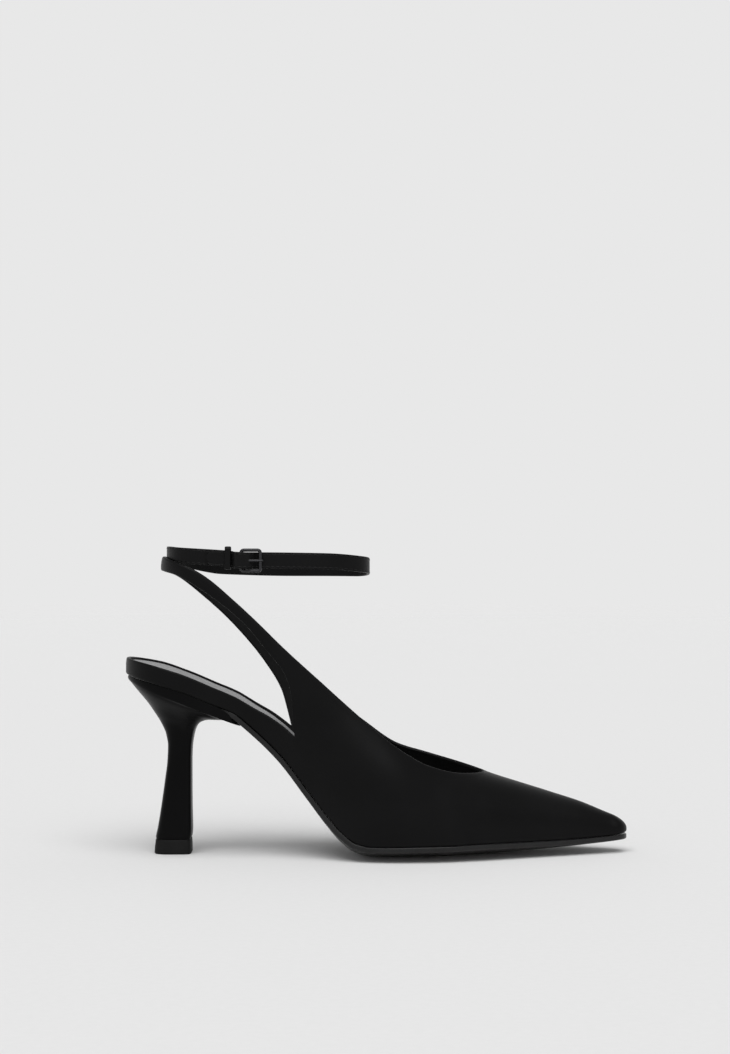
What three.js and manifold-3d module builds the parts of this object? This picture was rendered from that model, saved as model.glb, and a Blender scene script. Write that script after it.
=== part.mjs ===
// Slingback pump with a slim high heel, a pointed toe and a buckled ankle strap. Right shoe.
// Millimetres. X runs from the heel to the toe, Y to the inner side of the foot, Z up.
// The origin is the middle of the heel's foot on the floor.

import * as THREE from 'three';
import { mergeVertices } from 'three/addons/utils/BufferGeometryUtils.js';
import Module from 'manifold-3d';

const wasm = await Module();
wasm.setup();

// Driving dimensions

const shoeLength = 240;
const ballWidth = 74;
const seatWidth = 48;
const heelHeight = 82.7;
const toeSpring = 6.4;
const soleRoll = 5;
const soleThickness = 2.4;
const soleLip = 0.4;
const treadPress = 0.8;
const treadReach = 2.4;
const wall = 1.6;
const gap = 0.3;

const throatPlace = 171.7;
const throatHeight = 39.3;
const throatWidth = 59;
const slingHeight = 142;
const slingBand = 6.8;
const slingBack = 17.6;
const slingWidth = 41.6;
const randHeight = 8.4;
const randLip = 0.9;
const insoleThickness = 2.2;

const heelCentre = 22.7;
const topPieceHeight = 7;
const topPieceInset = 0.3;
const heelWidth = 16;
const soleEnd = 44;

const strapThickness = 1.5;
const strapWidth = 7.6;
const strapDrop = 1.7;
const strapBend = 80;
const strapFront = 116.9;
const strapTipEnd = 39.5;
const keeperLength = 2.8;
const keeperThickness = 0.9;
const keeperPlace = 50;
const keeperLift = 0.12;
const buckleRear = 56.2;
const buckleLength = 9.1;
const buckleBar = 1.6;
const pinDiameter = 1.2;

const steps = { seat: 9, side: 12, quarter: 7, throat: 8, vamp: 8, toe: 5, rand: 3, wall: 7, across: 8 };

// The sole along its length: at is a share of shoeLength, heel and spring are shares of heelHeight and
// toeSpring that the underside stands up, roll is a share of soleRoll that its edges rise, and outer and
// inner are shares of ballWidth from the centre line to the lateral and the medial edge.
const soleRows = [
  { at: 0.000, heel: 1.000, spring: 0.00, roll: 0.16, outer: 0.324, inner: 0.324 },
  { at: 0.108, heel: 0.917, spring: 0.00, roll: 0.16, outer: 0.324, inner: 0.324 },
  { at: 0.175, heel: 0.840, spring: 0.00, roll: 0.16, outer: 0.318, inner: 0.314 },
  { at: 0.214, heel: 0.792, spring: 0.00, roll: 0.16, outer: 0.303, inner: 0.292 },
  { at: 0.242, heel: 0.727, spring: 0.00, roll: 0.18, outer: 0.293, inner: 0.270 },
  { at: 0.304, heel: 0.551, spring: 0.00, roll: 0.24, outer: 0.292, inner: 0.243 },
  { at: 0.367, heel: 0.308, spring: 0.00, roll: 0.40, outer: 0.332, inner: 0.250 },
  { at: 0.398, heel: 0.186, spring: 0.00, roll: 0.54, outer: 0.370, inner: 0.277 },
  { at: 0.429, heel: 0.080, spring: 0.00, roll: 0.76, outer: 0.415, inner: 0.323 },
  { at: 0.458, heel: 0.018, spring: 0.00, roll: 0.92, outer: 0.452, inner: 0.378 },
  { at: 0.492, heel: 0.000, spring: 0.00, roll: 0.96, outer: 0.484, inner: 0.432 },
  { at: 0.540, heel: 0.000, spring: 0.00, roll: 0.98, outer: 0.500, inner: 0.480 },
  { at: 0.620, heel: 0.000, spring: 0.00, roll: 1.03, outer: 0.482, inner: 0.500 },
  { at: 0.700, heel: 0.000, spring: 0.07, roll: 1.00, outer: 0.411, inner: 0.466 },
  { at: 0.780, heel: 0.000, spring: 0.20, roll: 0.82, outer: 0.308, inner: 0.391 },
  { at: 0.860, heel: 0.000, spring: 0.40, roll: 0.56, outer: 0.205, inner: 0.294 },
  { at: 0.920, heel: 0.000, spring: 0.62, roll: 0.34, outer: 0.130, inner: 0.216 },
  { at: 0.971, heel: 0.000, spring: 0.84, roll: 0.16, outer: 0.068, inner: 0.149 },
  { at: 1.000, heel: 0.000, spring: 1.00, roll: 0.10, outer: 0.040, inner: 0.120 },
];

// The open top edge: at is the share of the way from the back of the sling to the throat, lateral and
// medial are shares of the climb from the throat to the top of the sling, half is a share of throatWidth,
// and lean is the angle in degrees by which the wall tips inwards at the edge.
const toplineRows = [
  { at: 0.000, lateral: 1.000, medial: 1.000, half: 0.353, lean: 2 },
  { at: 0.048, lateral: 0.974, medial: 0.969, half: 0.353, lean: 2 },
  { at: 0.101, lateral: 0.945, medial: 0.920, half: 0.353, lean: 2 },
  { at: 0.143, lateral: 0.909, medial: 0.873, half: 0.355, lean: 3 },
  { at: 0.228, lateral: 0.803, medial: 0.754, half: 0.378, lean: 4 },
  { at: 0.294, lateral: 0.713, medial: 0.655, half: 0.402, lean: 5 },
  { at: 0.389, lateral: 0.576, medial: 0.506, half: 0.435, lean: 7 },
  { at: 0.490, lateral: 0.441, medial: 0.375, half: 0.468, lean: 12 },
  { at: 0.626, lateral: 0.261, medial: 0.213, half: 0.497, lean: 26 },
  { at: 0.736, lateral: 0.127, medial: 0.103, half: 0.500, lean: 42 },
  { at: 0.833, lateral: 0.045, medial: 0.063, half: 0.500, lean: 58 },
  { at: 0.934, lateral: 0.007, medial: 0.026, half: 0.500, lean: 76 },
  { at: 1.000, lateral: 0.000, medial: 0.000, half: 0.500, lean: 87 },
];

// The edge of the cut-out under the sling, from the back down to the corner on the rand: lateral and
// medial are shares of the way down from the sling's lower edge to that corner.
const cutoutRows = [
  { at: 0.000, lateral: 0.000, medial: 0.000 },
  { at: 0.100, lateral: 0.020, medial: 0.045 },
  { at: 0.230, lateral: 0.070, medial: 0.125 },
  { at: 0.440, lateral: 0.185, medial: 0.270 },
  { at: 0.640, lateral: 0.325, medial: 0.440 },
  { at: 0.800, lateral: 0.483, medial: 0.607 },
  { at: 0.915, lateral: 0.600, medial: 0.763 },
  { at: 0.960, lateral: 0.690, medial: 0.880 },
  { at: 0.985, lateral: 0.790, medial: 0.955 },
  { at: 1.000, lateral: 1.000, medial: 1.000 },
];
const cutoutCorner = { lateral: 81.6, medial: 78.6 };

// The rand's height above the sole's edge on each side, as a share of randHeight.
const randRows = [
  { at: 0.000, lateral: 0.95, medial: 0.95 },
  { at: 0.060, lateral: 1.03, medial: 0.98 },
  { at: 0.120, lateral: 1.02, medial: 0.87 },
  { at: 0.175, lateral: 1.00, medial: 0.85 },
  { at: 0.214, lateral: 0.97, medial: 0.85 },
  { at: 0.250, lateral: 1.16, medial: 1.03 },
  { at: 0.292, lateral: 1.58, medial: 1.40 },
  { at: 0.312, lateral: 1.78, medial: 1.55 },
  { at: 0.340, lateral: 2.05, medial: 1.79 },
];

// The ridge of the vamp: at is the share of the way from the throat to the fold of the toe, tall is a
// share of the throat's height above the sole, and lean is the slope in degrees at which the wall meets
// the ridge.
const ridgeRows = [
  { at: 0.000, tall: 1.000, lean: 90 },
  { at: 0.070, tall: 0.950, lean: 90 },
  { at: 0.253, tall: 0.839, lean: 89 },
  { at: 0.499, tall: 0.689, lean: 87 },
  { at: 0.750, tall: 0.522, lean: 86 },
  { at: 1.000, tall: 0.303, lean: 88 },
];
const toeFold = 0.971;
const toeDrop = 0.42;
const toeAngle = 21;

// The foot's instep above the opening: at is a share of the throat's place, tall a share of the climb
// from the throat to the sling's top.
const instepRows = [
  { at: 0.559, tall: 0.6200 },
  { at: 0.710, tall: 0.3700 },
  { at: 0.757, tall: 0.2950 },
  { at: 0.804, tall: 0.2230 },
  { at: 0.850, tall: 0.1580 },
  { at: 0.897, tall: 0.1000 },
  { at: 0.930, tall: 0.0625 },
  { at: 0.953, tall: 0.0388 },
  { at: 0.971, tall: 0.0224 },
  { at: 0.988, tall: 0.0084 },
  { at: 1.000, tall: 0.0000 },
];

// The seat's padding thins out over these shares of shoeLength. The opening's side walls turn into the
// vamp over these shares of throatPlace, and its round end starts at this one.
const padEnd = { from: 0.34, to: 0.47 };
const throatBlend = { from: 0.722, to: 0.897 };
const throatStart = 0.71 * throatPlace;

// The heel, from the floor up: back and front are shares of shoeLength, backUp and frontUp are shares of
// heelHeight, wide is a share of heelWidth, and square is the power of the outline's back corners.
const heelRows = [
  { back: 0.0592, backUp: 0.0885, front: 0.1317, frontUp: 0.0885, wide: 1.00, square: 3.4 },
  { back: 0.0640, backUp: 0.1510, front: 0.1329, frontUp: 0.1510, wide: 0.95, square: 3.4 },
  { back: 0.0705, backUp: 0.2660, front: 0.1321, frontUp: 0.2660, wide: 0.86, square: 3.4 },
  { back: 0.0775, backUp: 0.4110, front: 0.1317, frontUp: 0.4110, wide: 0.79, square: 3.3 },
  { back: 0.0829, backUp: 0.5380, front: 0.1317, frontUp: 0.5380, wide: 0.77, square: 3.2 },
  { back: 0.0840, backUp: 0.6200, front: 0.1325, frontUp: 0.6100, wide: 0.81, square: 3.0 },
  { back: 0.0800, backUp: 0.6920, front: 0.1354, frontUp: 0.6750, wide: 0.95, square: 2.8 },
  { back: 0.0692, backUp: 0.7630, front: 0.1392, frontUp: 0.7170, wide: 1.20, square: 2.6 },
  { back: 0.0571, backUp: 0.8190, front: 0.1446, frontUp: 0.7450, wide: 1.54, square: 2.4 },
  { back: 0.0438, backUp: 0.8760, front: 0.1550, frontUp: 0.7690, wide: 1.93, square: 2.3 },
  { back: 0.0275, backUp: 0.9330, front: 0.1729, frontUp: 0.7810, wide: 2.36, square: 2.2 },
  { back: 0.0121, backUp: 0.9870, front: 0.2000, frontUp: 0.7800, wide: 2.74, square: 2.1 },
  { back: 0.0029, backUp: 1.0250, front: 0.2270, frontUp: 0.7570, wide: 2.94, square: 2.0 },
  { back: 0.0010, backUp: 1.1200, front: 0.2280, frontUp: 0.9000, wide: 2.96, square: 2.0 },
];

// A smooth curve through a table's column that never swings past its rows.
function columnCurve(rows, name) {
  const x = rows.map((row) => row.at);
  const y = rows.map((row) => row[name]);
  const last = x.length - 1;
  const slope = x.slice(1).map((value, i) => (y[i + 1] - y[i]) / (value - x[i]));
  const tangent = y.map((_, i) => {
    if (i === 0) return slope[0];
    if (i === last) return slope[last - 1];
    const before = slope[i - 1];
    const after = slope[i];
    if (before * after <= 0) return 0;
    return (2 * before * after) / (before + after);
  });
  return (place) => {
    const inside = Math.min(Math.max(place, x[0]), x[last]);
    let i = 0;
    while (i < last - 1 && inside > x[i + 1]) i += 1;
    const span = x[i + 1] - x[i];
    const s = (inside - x[i]) / span;
    const rise = s * s * (3 - 2 * s);
    const leave = s * (1 - s) * (1 - s) * tangent[i] * span;
    const arrive = s * s * (1 - s) * tangent[i + 1] * span;
    return y[i] + (y[i + 1] - y[i]) * rise + leave - arrive;
  };
}

const soleAt = {};
for (const name of ['heel', 'spring', 'roll', 'outer', 'inner']) soleAt[name] = columnCurve(soleRows, name);
const toplineAt = {};
for (const name of ['lateral', 'medial', 'half', 'lean']) toplineAt[name] = columnCurve(toplineRows, name);
const cutoutAt = {};
for (const name of ['lateral', 'medial']) cutoutAt[name] = columnCurve(cutoutRows, name);
const randAt = { lateral: columnCurve(randRows, 'lateral'), medial: columnCurve(randRows, 'medial') };
const instepAt = columnCurve(instepRows, 'tall');
const ridgeAt = { tall: columnCurve(ridgeRows, 'tall'), lean: columnCurve(ridgeRows, 'lean') };

const degrees = Math.PI / 180;

// Sole surfaces. Lengths along the shoe are measured here from the back of the seat.

const sides = { lateral: -1, medial: 1 };
const seatRoundEnd = 0.108;
const seatFade = 0.3;

function underside(along) {
  const at = along / shoeLength;
  return heelHeight * soleAt.heel(at) + toeSpring * soleAt.spring(at);
}

function upright(thickness, along) {
  const step = 1;
  const slope = (underside(along + step) - underside(along - step)) / (2 * step);
  return thickness * Math.hypot(1, slope);
}

function edgeHeight(along) {
  return underside(along) + soleRoll * soleAt.roll(along / shoeLength) + upright(soleThickness, along);
}

function edgeWidth(along, side) {
  const column = side === 'lateral' ? soleAt.outer : soleAt.inner;
  const seat = seatWidth / 2 / (soleRows[0].outer * ballWidth);
  const at = along / shoeLength;
  const fade = Math.min(Math.max((at - seatRoundEnd) / seatFade, 0), 1);
  return ballWidth * column(at) * (seat + (1 - seat) * fade);
}

function soleTop(along, across) {
  const inside = Math.min(Math.max(along, 0.5), shoeLength - 0.5);
  const lateral = edgeWidth(inside, 'lateral');
  const medial = edgeWidth(inside, 'medial');
  const middle = (medial - lateral) / 2;
  const share = Math.min(Math.abs(across - middle) / ((medial + lateral) / 2), 1);
  const roll = soleRoll * soleAt.roll(inside / shoeLength);
  return edgeHeight(inside) - roll * (1 - share * share);
}

// The outline of the sole's edge, one side: a round seat, the waist and ball, and a round toe tip.

const seatCentre = seatRoundEnd * shoeLength;
const toeCentre = toeFold * shoeLength;

function seatPoint(turn, side) {
  const along = seatCentre * (1 - Math.sin(turn));
  return [along, sides[side] * edgeWidth(seatCentre, side) * Math.cos(turn)];
}

function toePoint(turn, side) {
  const lateral = edgeWidth(toeCentre, 'lateral');
  const medial = edgeWidth(toeCentre, 'medial');
  const middle = (medial - lateral) / 2;
  const half = (medial + lateral) / 2;
  const corner = toeAngle * degrees;
  const reach = Math.cos(corner) / Math.cos(Math.max(corner - turn, 0));
  const forward = (shoeLength - toeCentre) / Math.cos(corner);
  return [toeCentre + forward * reach * Math.sin(turn), middle + sides[side] * half * reach * Math.cos(turn)];
}

function spread(from, to, count, ease = (s) => s) {
  return Array.from({ length: count }, (_, i) => from + (to - from) * ease((i + 1) / count));
}

// Top edge of the upper.

const slingRound = slingWidth / 2;
const slingCentre = slingBack + slingRound;

function toplineShare(along) {
  return (along - slingBack) / (throatPlace - slingBack);
}

function toplineHeight(along, side) {
  return throatHeight + (slingHeight - throatHeight) * toplineAt[side](toplineShare(along));
}

function throatRound(along) {
  const s = Math.max((along - throatStart) / (throatPlace - throatStart), 0);
  return Math.sqrt(Math.max(1 - s * s, 0));
}

function toplineWidth(along) {
  return throatWidth * toplineAt.half(toplineShare(along)) * throatRound(along);
}

function randTop(along, side) {
  return edgeHeight(along) + randHeight * randAt[side](along / shoeLength);
}

function cutoutHeight(along, side) {
  const at = (along - slingBack) / (cutoutCorner[side] - slingBack);
  const top = slingHeight - slingBand;
  return top - (top - randTop(cutoutCorner[side], side)) * cutoutAt[side](at);
}

// Sections of the upper. Each is a curve from the sole's edge to the top edge or the ridge.

const pull = 0.4;

function sectionCurve(foot, flare, top, topWay) {
  const reach = foot.distanceTo(top) * pull;
  const low = foot.clone().addScaledVector(flare, reach);
  const high = top.clone().addScaledVector(topWay, reach);
  return new THREE.CubicBezierCurve3(foot, low, high, top);
}

function tilted(outward, angle) {
  const across = Math.sin(angle * degrees);
  return new THREE.Vector3(outward.x * across, outward.y * across, Math.cos(angle * degrees));
}

function downward(outward, angle) {
  const across = Math.sin(angle * degrees);
  return new THREE.Vector3(outward.x * across, outward.y * across, -Math.cos(angle * degrees));
}

const flareSeat = 2;
const flareWaist = 14;
const flareToe = 6;
const flareTip = 28;
const waistPlace = 0.36;
const waistReach = 0.1;
const seatFlareEnd = 0.25 * shoeLength;

// The angle in degrees by which the wall leans out as it leaves the sole's edge.
function flareAt(along) {
  const waist = Math.exp(-(((along / shoeLength - waistPlace) / waistReach) ** 2));
  const free = flareToe + (flareWaist - flareToe) * waist;
  return flareSeat + (free - flareSeat) * Math.min(along / seatFlareEnd, 1);
}

function seatSection(turn, side) {
  const [along, across] = seatPoint(turn, side);
  const foot = new THREE.Vector3(along, across, edgeHeight(along) + gap);
  const topAlong = slingCentre - slingRound * Math.sin(turn);
  const topAcross = sides[side] * slingRound * Math.cos(turn);
  const top = new THREE.Vector3(topAlong, topAcross, toplineHeight(topAlong, side));
  const outward = new THREE.Vector3(-Math.sin(turn), sides[side] * Math.cos(turn), 0);
  return sectionCurve(foot, tilted(outward, flareSeat), top, downward(outward, toplineAt.lean(0)));
}

function sideSection(footAlong, topAlong, side) {
  const outward = new THREE.Vector3(0, sides[side], 0);
  const across = sides[side] * edgeWidth(footAlong, side);
  const foot = new THREE.Vector3(footAlong, across, edgeHeight(footAlong) + gap);
  const topAcross = sides[side] * toplineWidth(topAlong);
  const top = new THREE.Vector3(topAlong, topAcross, toplineHeight(topAlong, side));
  const lean = toplineAt.lean(toplineShare(topAlong));
  return sectionCurve(foot, tilted(outward, flareAt(footAlong)), top, downward(outward, lean));
}

function ridgeShare(along) {
  return Math.min(Math.max((along - throatPlace) / (toeCentre - throatPlace), 0), 1);
}

function ridgeHeight(along) {
  if (along < throatPlace) return throatHeight + (slingHeight - throatHeight) * instepAt(along / throatPlace);
  const tall = throatHeight - edgeHeight(throatPlace);
  return edgeHeight(along) + tall * ridgeAt.tall(ridgeShare(along));
}

function ridgeMiddle(along) {
  const full = (edgeWidth(along, 'medial') - edgeWidth(along, 'lateral')) / 2;
  const s = ridgeShare(along);
  return full * s * (2 - s);
}

function vampSection(along, side) {
  const outward = new THREE.Vector3(0, sides[side], 0);
  const across = sides[side] * edgeWidth(along, side);
  const foot = new THREE.Vector3(along, across, edgeHeight(along) + gap);
  const top = new THREE.Vector3(along, ridgeMiddle(along), ridgeHeight(along));
  const lean = ridgeAt.lean(ridgeShare(along));
  return sectionCurve(foot, tilted(outward, flareAt(along)), top, downward(outward, lean));
}

// A section beside the opening: low down the quarter, and towards the throat a vamp section cut short.
function openSection(along, side) {
  const quarter = sideSection(along, along, side);
  const vamp = vampSection(along, side);
  const end = crossing(vamp, () => toplineHeight(along, side));
  const { from, to } = throatBlend;
  const s = Math.min(Math.max((along / throatPlace - from) / (to - from), 0), 1);
  const mix = s * s * (3 - 2 * s);
  return { getPoint: (t) => quarter.getPoint(t).lerp(vamp.getPoint(t * end), mix) };
}

function toeSection(turn, side) {
  const [along, across] = toePoint(turn, side);
  const foot = new THREE.Vector3(along, across, edgeHeight(along) + gap);
  const top = new THREE.Vector3(toeCentre, ridgeMiddle(toeCentre), ridgeHeight(toeCentre));
  const outward = new THREE.Vector3(Math.sin(turn), sides[side] * Math.cos(turn), 0);
  const topWay = new THREE.Vector3(outward.x, outward.y, -toeDrop * Math.sin(turn)).normalize();
  const flare = flareToe + (flareTip - flareToe) * Math.sin(turn);
  return sectionCurve(foot, tilted(outward, flare), top, topWay);
}

// Every section on one side, from the middle of the back to the tip of the toe.
function sideSections(side) {
  const corner = cutoutCorner[side];
  const sections = [];
  for (const turn of [Math.PI / 2, ...spread(Math.PI / 2, 0, steps.seat)]) {
    sections.push({ curve: seatSection(turn, side), open: true });
  }
  for (const s of spread(0, 1, steps.side, (t) => t * (1.5 - 0.5 * t))) {
    const footAlong = seatCentre + (corner - seatCentre) * s;
    const topAlong = slingCentre + (corner - slingCentre) * s;
    sections.push({ curve: sideSection(footAlong, topAlong, side), open: s < 1 });
  }
  for (const along of spread(corner, throatStart, steps.quarter)) {
    sections.push({ curve: openSection(along, side), open: false });
  }
  for (const turn of spread(0, Math.PI / 2, steps.throat).slice(0, -1)) {
    const along = throatStart + (throatPlace - throatStart) * Math.sin(turn);
    sections.push({ curve: openSection(along, side), open: false });
  }
  sections.push({ curve: vampSection(throatPlace, side), open: false });
  for (const along of spread(throatPlace, toeCentre, steps.vamp)) {
    sections.push({ curve: vampSection(along, side), open: false });
  }
  for (const turn of spread(0, Math.PI / 2, steps.toe)) {
    sections.push({ curve: toeSection(turn, side), open: false });
  }
  return sections;
}

// The share of a section's curve at which it passes an edge given as a height along the shoe.
function crossing(curve, heightAt) {
  let low = 0;
  let high = 1;
  for (let i = 0; i < 40; i += 1) {
    const middle = (low + high) / 2;
    const point = curve.getPoint(middle);
    if (point.z < heightAt(point.x)) low = middle;
    else high = middle;
  }
  return (low + high) / 2;
}

// Closed solids from lists of corners and triangles.

class Surface {
  constructor() {
    this.points = [];
    this.triangles = [];
    this.known = new Map();
  }

  corner(point) {
    const key = [point.x, point.y, point.z].map((value) => Math.round(value * 2000)).join(' ');
    if (!this.known.has(key)) {
      this.known.set(key, this.points.length);
      this.points.push(point.clone());
    }
    return this.known.get(key);
  }

  triangle(a, b, c) {
    if (a !== b && b !== c && a !== c) this.triangles.push([a, b, c]);
  }

  quad(a, b, c, d) {
    this.triangle(a, b, c);
    this.triangle(a, c, d);
  }

  // A grid of corners, row by row, joined by quads.
  grid(rows, flip = false) {
    const ids = rows.map((row) => row.map((point) => this.corner(point)));
    for (let i = 0; i + 1 < ids.length; i += 1) {
      for (let j = 0; j + 1 < ids[i].length; j += 1) {
        const loop = [ids[i][j], ids[i + 1][j], ids[i + 1][j + 1], ids[i][j + 1]];
        if (flip) loop.reverse();
        this.quad(...loop);
      }
    }
  }

  normals() {
    const normals = this.points.map(() => new THREE.Vector3());
    for (const [a, b, c] of this.triangles) {
      const ab = this.points[b].clone().sub(this.points[a]);
      const ac = this.points[c].clone().sub(this.points[a]);
      const facing = ab.cross(ac);
      for (const id of [a, b, c]) normals[id].add(facing);
    }
    return normals.map((normal) => normal.normalize());
  }

  // Edges with a triangle on one side only, each in the direction of its triangle.
  openEdges() {
    const seen = new Map();
    for (const [a, b, c] of this.triangles) {
      for (const [from, to] of [[a, b], [b, c], [c, a]]) {
        const back = `${to} ${from}`;
        if (seen.has(back)) seen.delete(back);
        else seen.set(`${from} ${to}`, [from, to]);
      }
    }
    return [...seen.values()];
  }

  // A wall of even thickness behind the surface, closed along its open edges.
  thicken(thickness, settle) {
    const normals = this.normals();
    const count = this.points.length;
    const inner = this.points.map((point, i) => point.clone().addScaledVector(normals[i], -thickness));
    inner.forEach((point, i) => settle(point, this.points[i]));
    const edges = this.openEdges();
    this.points.push(...inner);
    const front = [...this.triangles];
    for (const [a, b, c] of front) this.triangles.push([a + count, c + count, b + count]);
    for (const [a, b] of edges) this.quad(b, a, a + count, b + count);
  }

  solid() {
    const vertProperties = new Float32Array(this.points.flatMap((p) => [p.x - heelCentre, p.y, p.z]));
    const triVerts = new Uint32Array(this.triangles.flat());
    return new wasm.Manifold(new wasm.Mesh({ numProp: 3, vertProperties, triVerts }));
  }
}

function geometryOf(solid) {
  const mesh = solid.getMesh();
  const geometry = new THREE.BufferGeometry();
  geometry.setAttribute('position', new THREE.BufferAttribute(new Float32Array(mesh.vertProperties), 3));
  geometry.setIndex(new THREE.BufferAttribute(new Uint32Array(mesh.triVerts), 1));
  geometry.computeVertexNormals();
  return geometry;
}

function solidOf(geometry) {
  const bare = geometry.clone();
  bare.deleteAttribute('normal');
  bare.deleteAttribute('uv');
  const merged = mergeVertices(bare, 1e-4);
  const vertProperties = new Float32Array(merged.attributes.position.array);
  const triVerts = new Uint32Array(merged.index.array);
  return new wasm.Manifold(new wasm.Mesh({ numProp: 3, vertProperties, triVerts }));
}

// Upper: vamp, quarters, rand and sling in one hollow wall, open below, at the top and at the cut-out.

function upperColumns(side) {
  const sections = sideSections(side);
  const join = crossing(sections[steps.seat + steps.side].curve, () => randTop(cutoutCorner[side], side));
  return sections.map(({ curve, open }) => {
    const lowEnd = open ? crossing(curve, (along) => randTop(along, side)) : join;
    const highStart = open ? crossing(curve, (along) => cutoutHeight(along, side)) : join;
    const low = [0, ...spread(0, lowEnd, steps.rand)].map((t) => curve.getPoint(t));
    const high = [highStart, ...spread(highStart, 1, steps.wall)].map((t) => curve.getPoint(t));
    return { low, high };
  });
}

function makeUpper() {
  const surface = new Surface();
  const lateral = upperColumns('lateral');
  const medial = upperColumns('medial');
  medial[0] = lateral[0];
  medial[medial.length - 1] = lateral.at(-1);
  const feet = new Set();
  for (const [columns, flip] of [[lateral, false], [medial, true]]) {
    surface.grid(columns.map(({ low }) => low), flip);
    surface.grid(columns.map(({ high }) => high), flip);
    for (const { low } of columns) feet.add(surface.points[surface.corner(low[0])]);
  }
  surface.thicken(wall, (inner, outer) => {
    if (feet.has(outer)) inner.z = outer.z;
  });
  return surface.solid();
}

// The plan outline of the sole's edge, set in or out by a margin.
function outline(margin, start = 0) {
  const pair = {};
  for (const side of ['lateral', 'medial']) {
    const points = [];
    if (start === 0) {
      for (const turn of [Math.PI / 2, ...spread(Math.PI / 2, 0, steps.seat)]) points.push(seatPoint(turn, side));
    } else {
      points.push([start, sides[side] * edgeWidth(start, side)]);
    }
    const from = start === 0 ? seatCentre : start;
    for (const along of spread(from, toeCentre, steps.side + steps.quarter + steps.throat + steps.vamp)) {
      points.push([along, sides[side] * edgeWidth(along, side)]);
    }
    for (const turn of spread(0, Math.PI / 2, steps.toe)) points.push(toePoint(turn, side));
    pair[side] = points.map(([along, across], i) => {
      const [beforeAlong, beforeAcross] = points[Math.max(i - 1, 0)];
      const [afterAlong, afterAcross] = points[Math.min(i + 1, points.length - 1)];
      let way = new THREE.Vector2(afterAlong - beforeAlong, afterAcross - beforeAcross).normalize();
      if (i === 0 && start === 0) way = new THREE.Vector2(0, sides[side]);
      if (i === points.length - 1) way = new THREE.Vector2(0, -sides[side]);
      if (i === 0 && start > 0) way = new THREE.Vector2(1, 0);
      const outward = new THREE.Vector2(-way.y, way.x).multiplyScalar(sides[side]);
      return new THREE.Vector2(along + outward.x * margin, across + outward.y * margin);
    });
  }
  return pair;
}

// A slab that follows the sole's length, between an upper and a lower surface.
function slab(pair, topAt, bottomAt) {
  const surface = new Surface();
  const top = [];
  const bottom = [];
  pair.lateral.forEach((lateral, i) => {
    const places = spread(-1 / steps.across, 1, steps.across + 1).map((s) => lateral.clone().lerp(pair.medial[i], s));
    top.push(places.map(({ x, y }) => new THREE.Vector3(x, y, topAt(x, y))));
    bottom.push(places.map(({ x, y }) => new THREE.Vector3(x, y, bottomAt(x, y))));
  });
  surface.grid(top);
  surface.grid(bottom, true);
  surface.grid(top.map((row, i) => [bottom[i][0], row[0]]));
  surface.grid(top.map((row, i) => [bottom[i].at(-1), row.at(-1)]), true);
  surface.grid(top[0].map((point, j) => [bottom[0][j], point]), true);
  return surface.solid();
}

// The outsole's underside, pressed flat where it stands on the floor.
function treadHeight(along, across) {
  const bare = soleTop(along, across) - upright(soleThickness, along);
  const press = treadPress * Math.max(1 - bare / treadReach, 0);
  return Math.max(bare - press, 0);
}

function makeOutsole() {
  return slab(outline(soleLip, soleEnd), soleTop, treadHeight);
}

function insoleTop(along, across) {
  const at = along / shoeLength;
  const s = Math.min(Math.max((at - padEnd.from) / (padEnd.to - padEnd.from), 0), 1);
  const thin = s * s * (3 - 2 * s);
  const padded = randTop(along, 'medial') - randLip;
  const bare = soleTop(along, across) + gap + insoleThickness;
  return padded + (bare - padded) * thin;
}

function makeInsole() {
  const bottom = (along, across) => soleTop(along, across) + gap;
  return slab(outline(-wall - 2 * gap), insoleTop, bottom);
}

// Heel: stacked outlines from the foot to the seat, cut to the seat and to the end of the outsole.

const heelCorner = 6;
const heelMiddle = 0.48;
const heelFrontPower = 6;

function rounded(part, power) {
  return part < 1e-9 ? 0 : part ** (2 / power);
}

function heelOutline(row, margin = 0) {
  const back = new THREE.Vector2(row.back * shoeLength + margin, row.backUp * heelHeight);
  const front = new THREE.Vector2(row.front * shoeLength - margin, row.frontUp * heelHeight);
  const half = (row.wide * heelWidth) / 2 - margin;
  const loop = [];
  const quarters = [
    { towards: -1, hand: -1, power: row.square, share: heelMiddle },
    { towards: 1, hand: -1, power: heelFrontPower, share: 1 - heelMiddle },
    { towards: 1, hand: 1, power: heelFrontPower, share: 1 - heelMiddle },
    { towards: -1, hand: 1, power: row.square, share: heelMiddle },
  ];
  quarters.forEach(({ towards, hand, power, share }, q) => {
    for (let i = 0; i < heelCorner; i += 1) {
      const turn = (Math.PI / 2) * (i / heelCorner);
      const angle = q % 2 === 0 ? Math.PI / 2 - turn : turn;
      const swing = share * rounded(Math.sin(angle), power);
      const place = back.clone().lerp(front, heelMiddle + towards * swing);
      const width = half * rounded(Math.cos(angle), power);
      loop.push(new THREE.Vector3(place.x, hand * width, place.y));
    }
  });
  return loop;
}

function stack(loops) {
  const surface = new Surface();
  const closed = loops.map((loop) => [...loop, loop[0]]);
  surface.grid(closed, true);
  for (const [loop, flip] of [[closed[0], true], [closed.at(-1), false]]) {
    const middle = loop.slice(0, -1).reduce((sum, point) => sum.add(point), new THREE.Vector3());
    middle.divideScalar(loop.length - 1);
    for (let i = 0; i + 1 < loop.length; i += 1) {
      const ids = [middle, loop[i], loop[i + 1]].map((point) => surface.corner(point));
      if (flip) ids.reverse();
      surface.triangle(...ids);
    }
  }
  return surface.solid();
}

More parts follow.
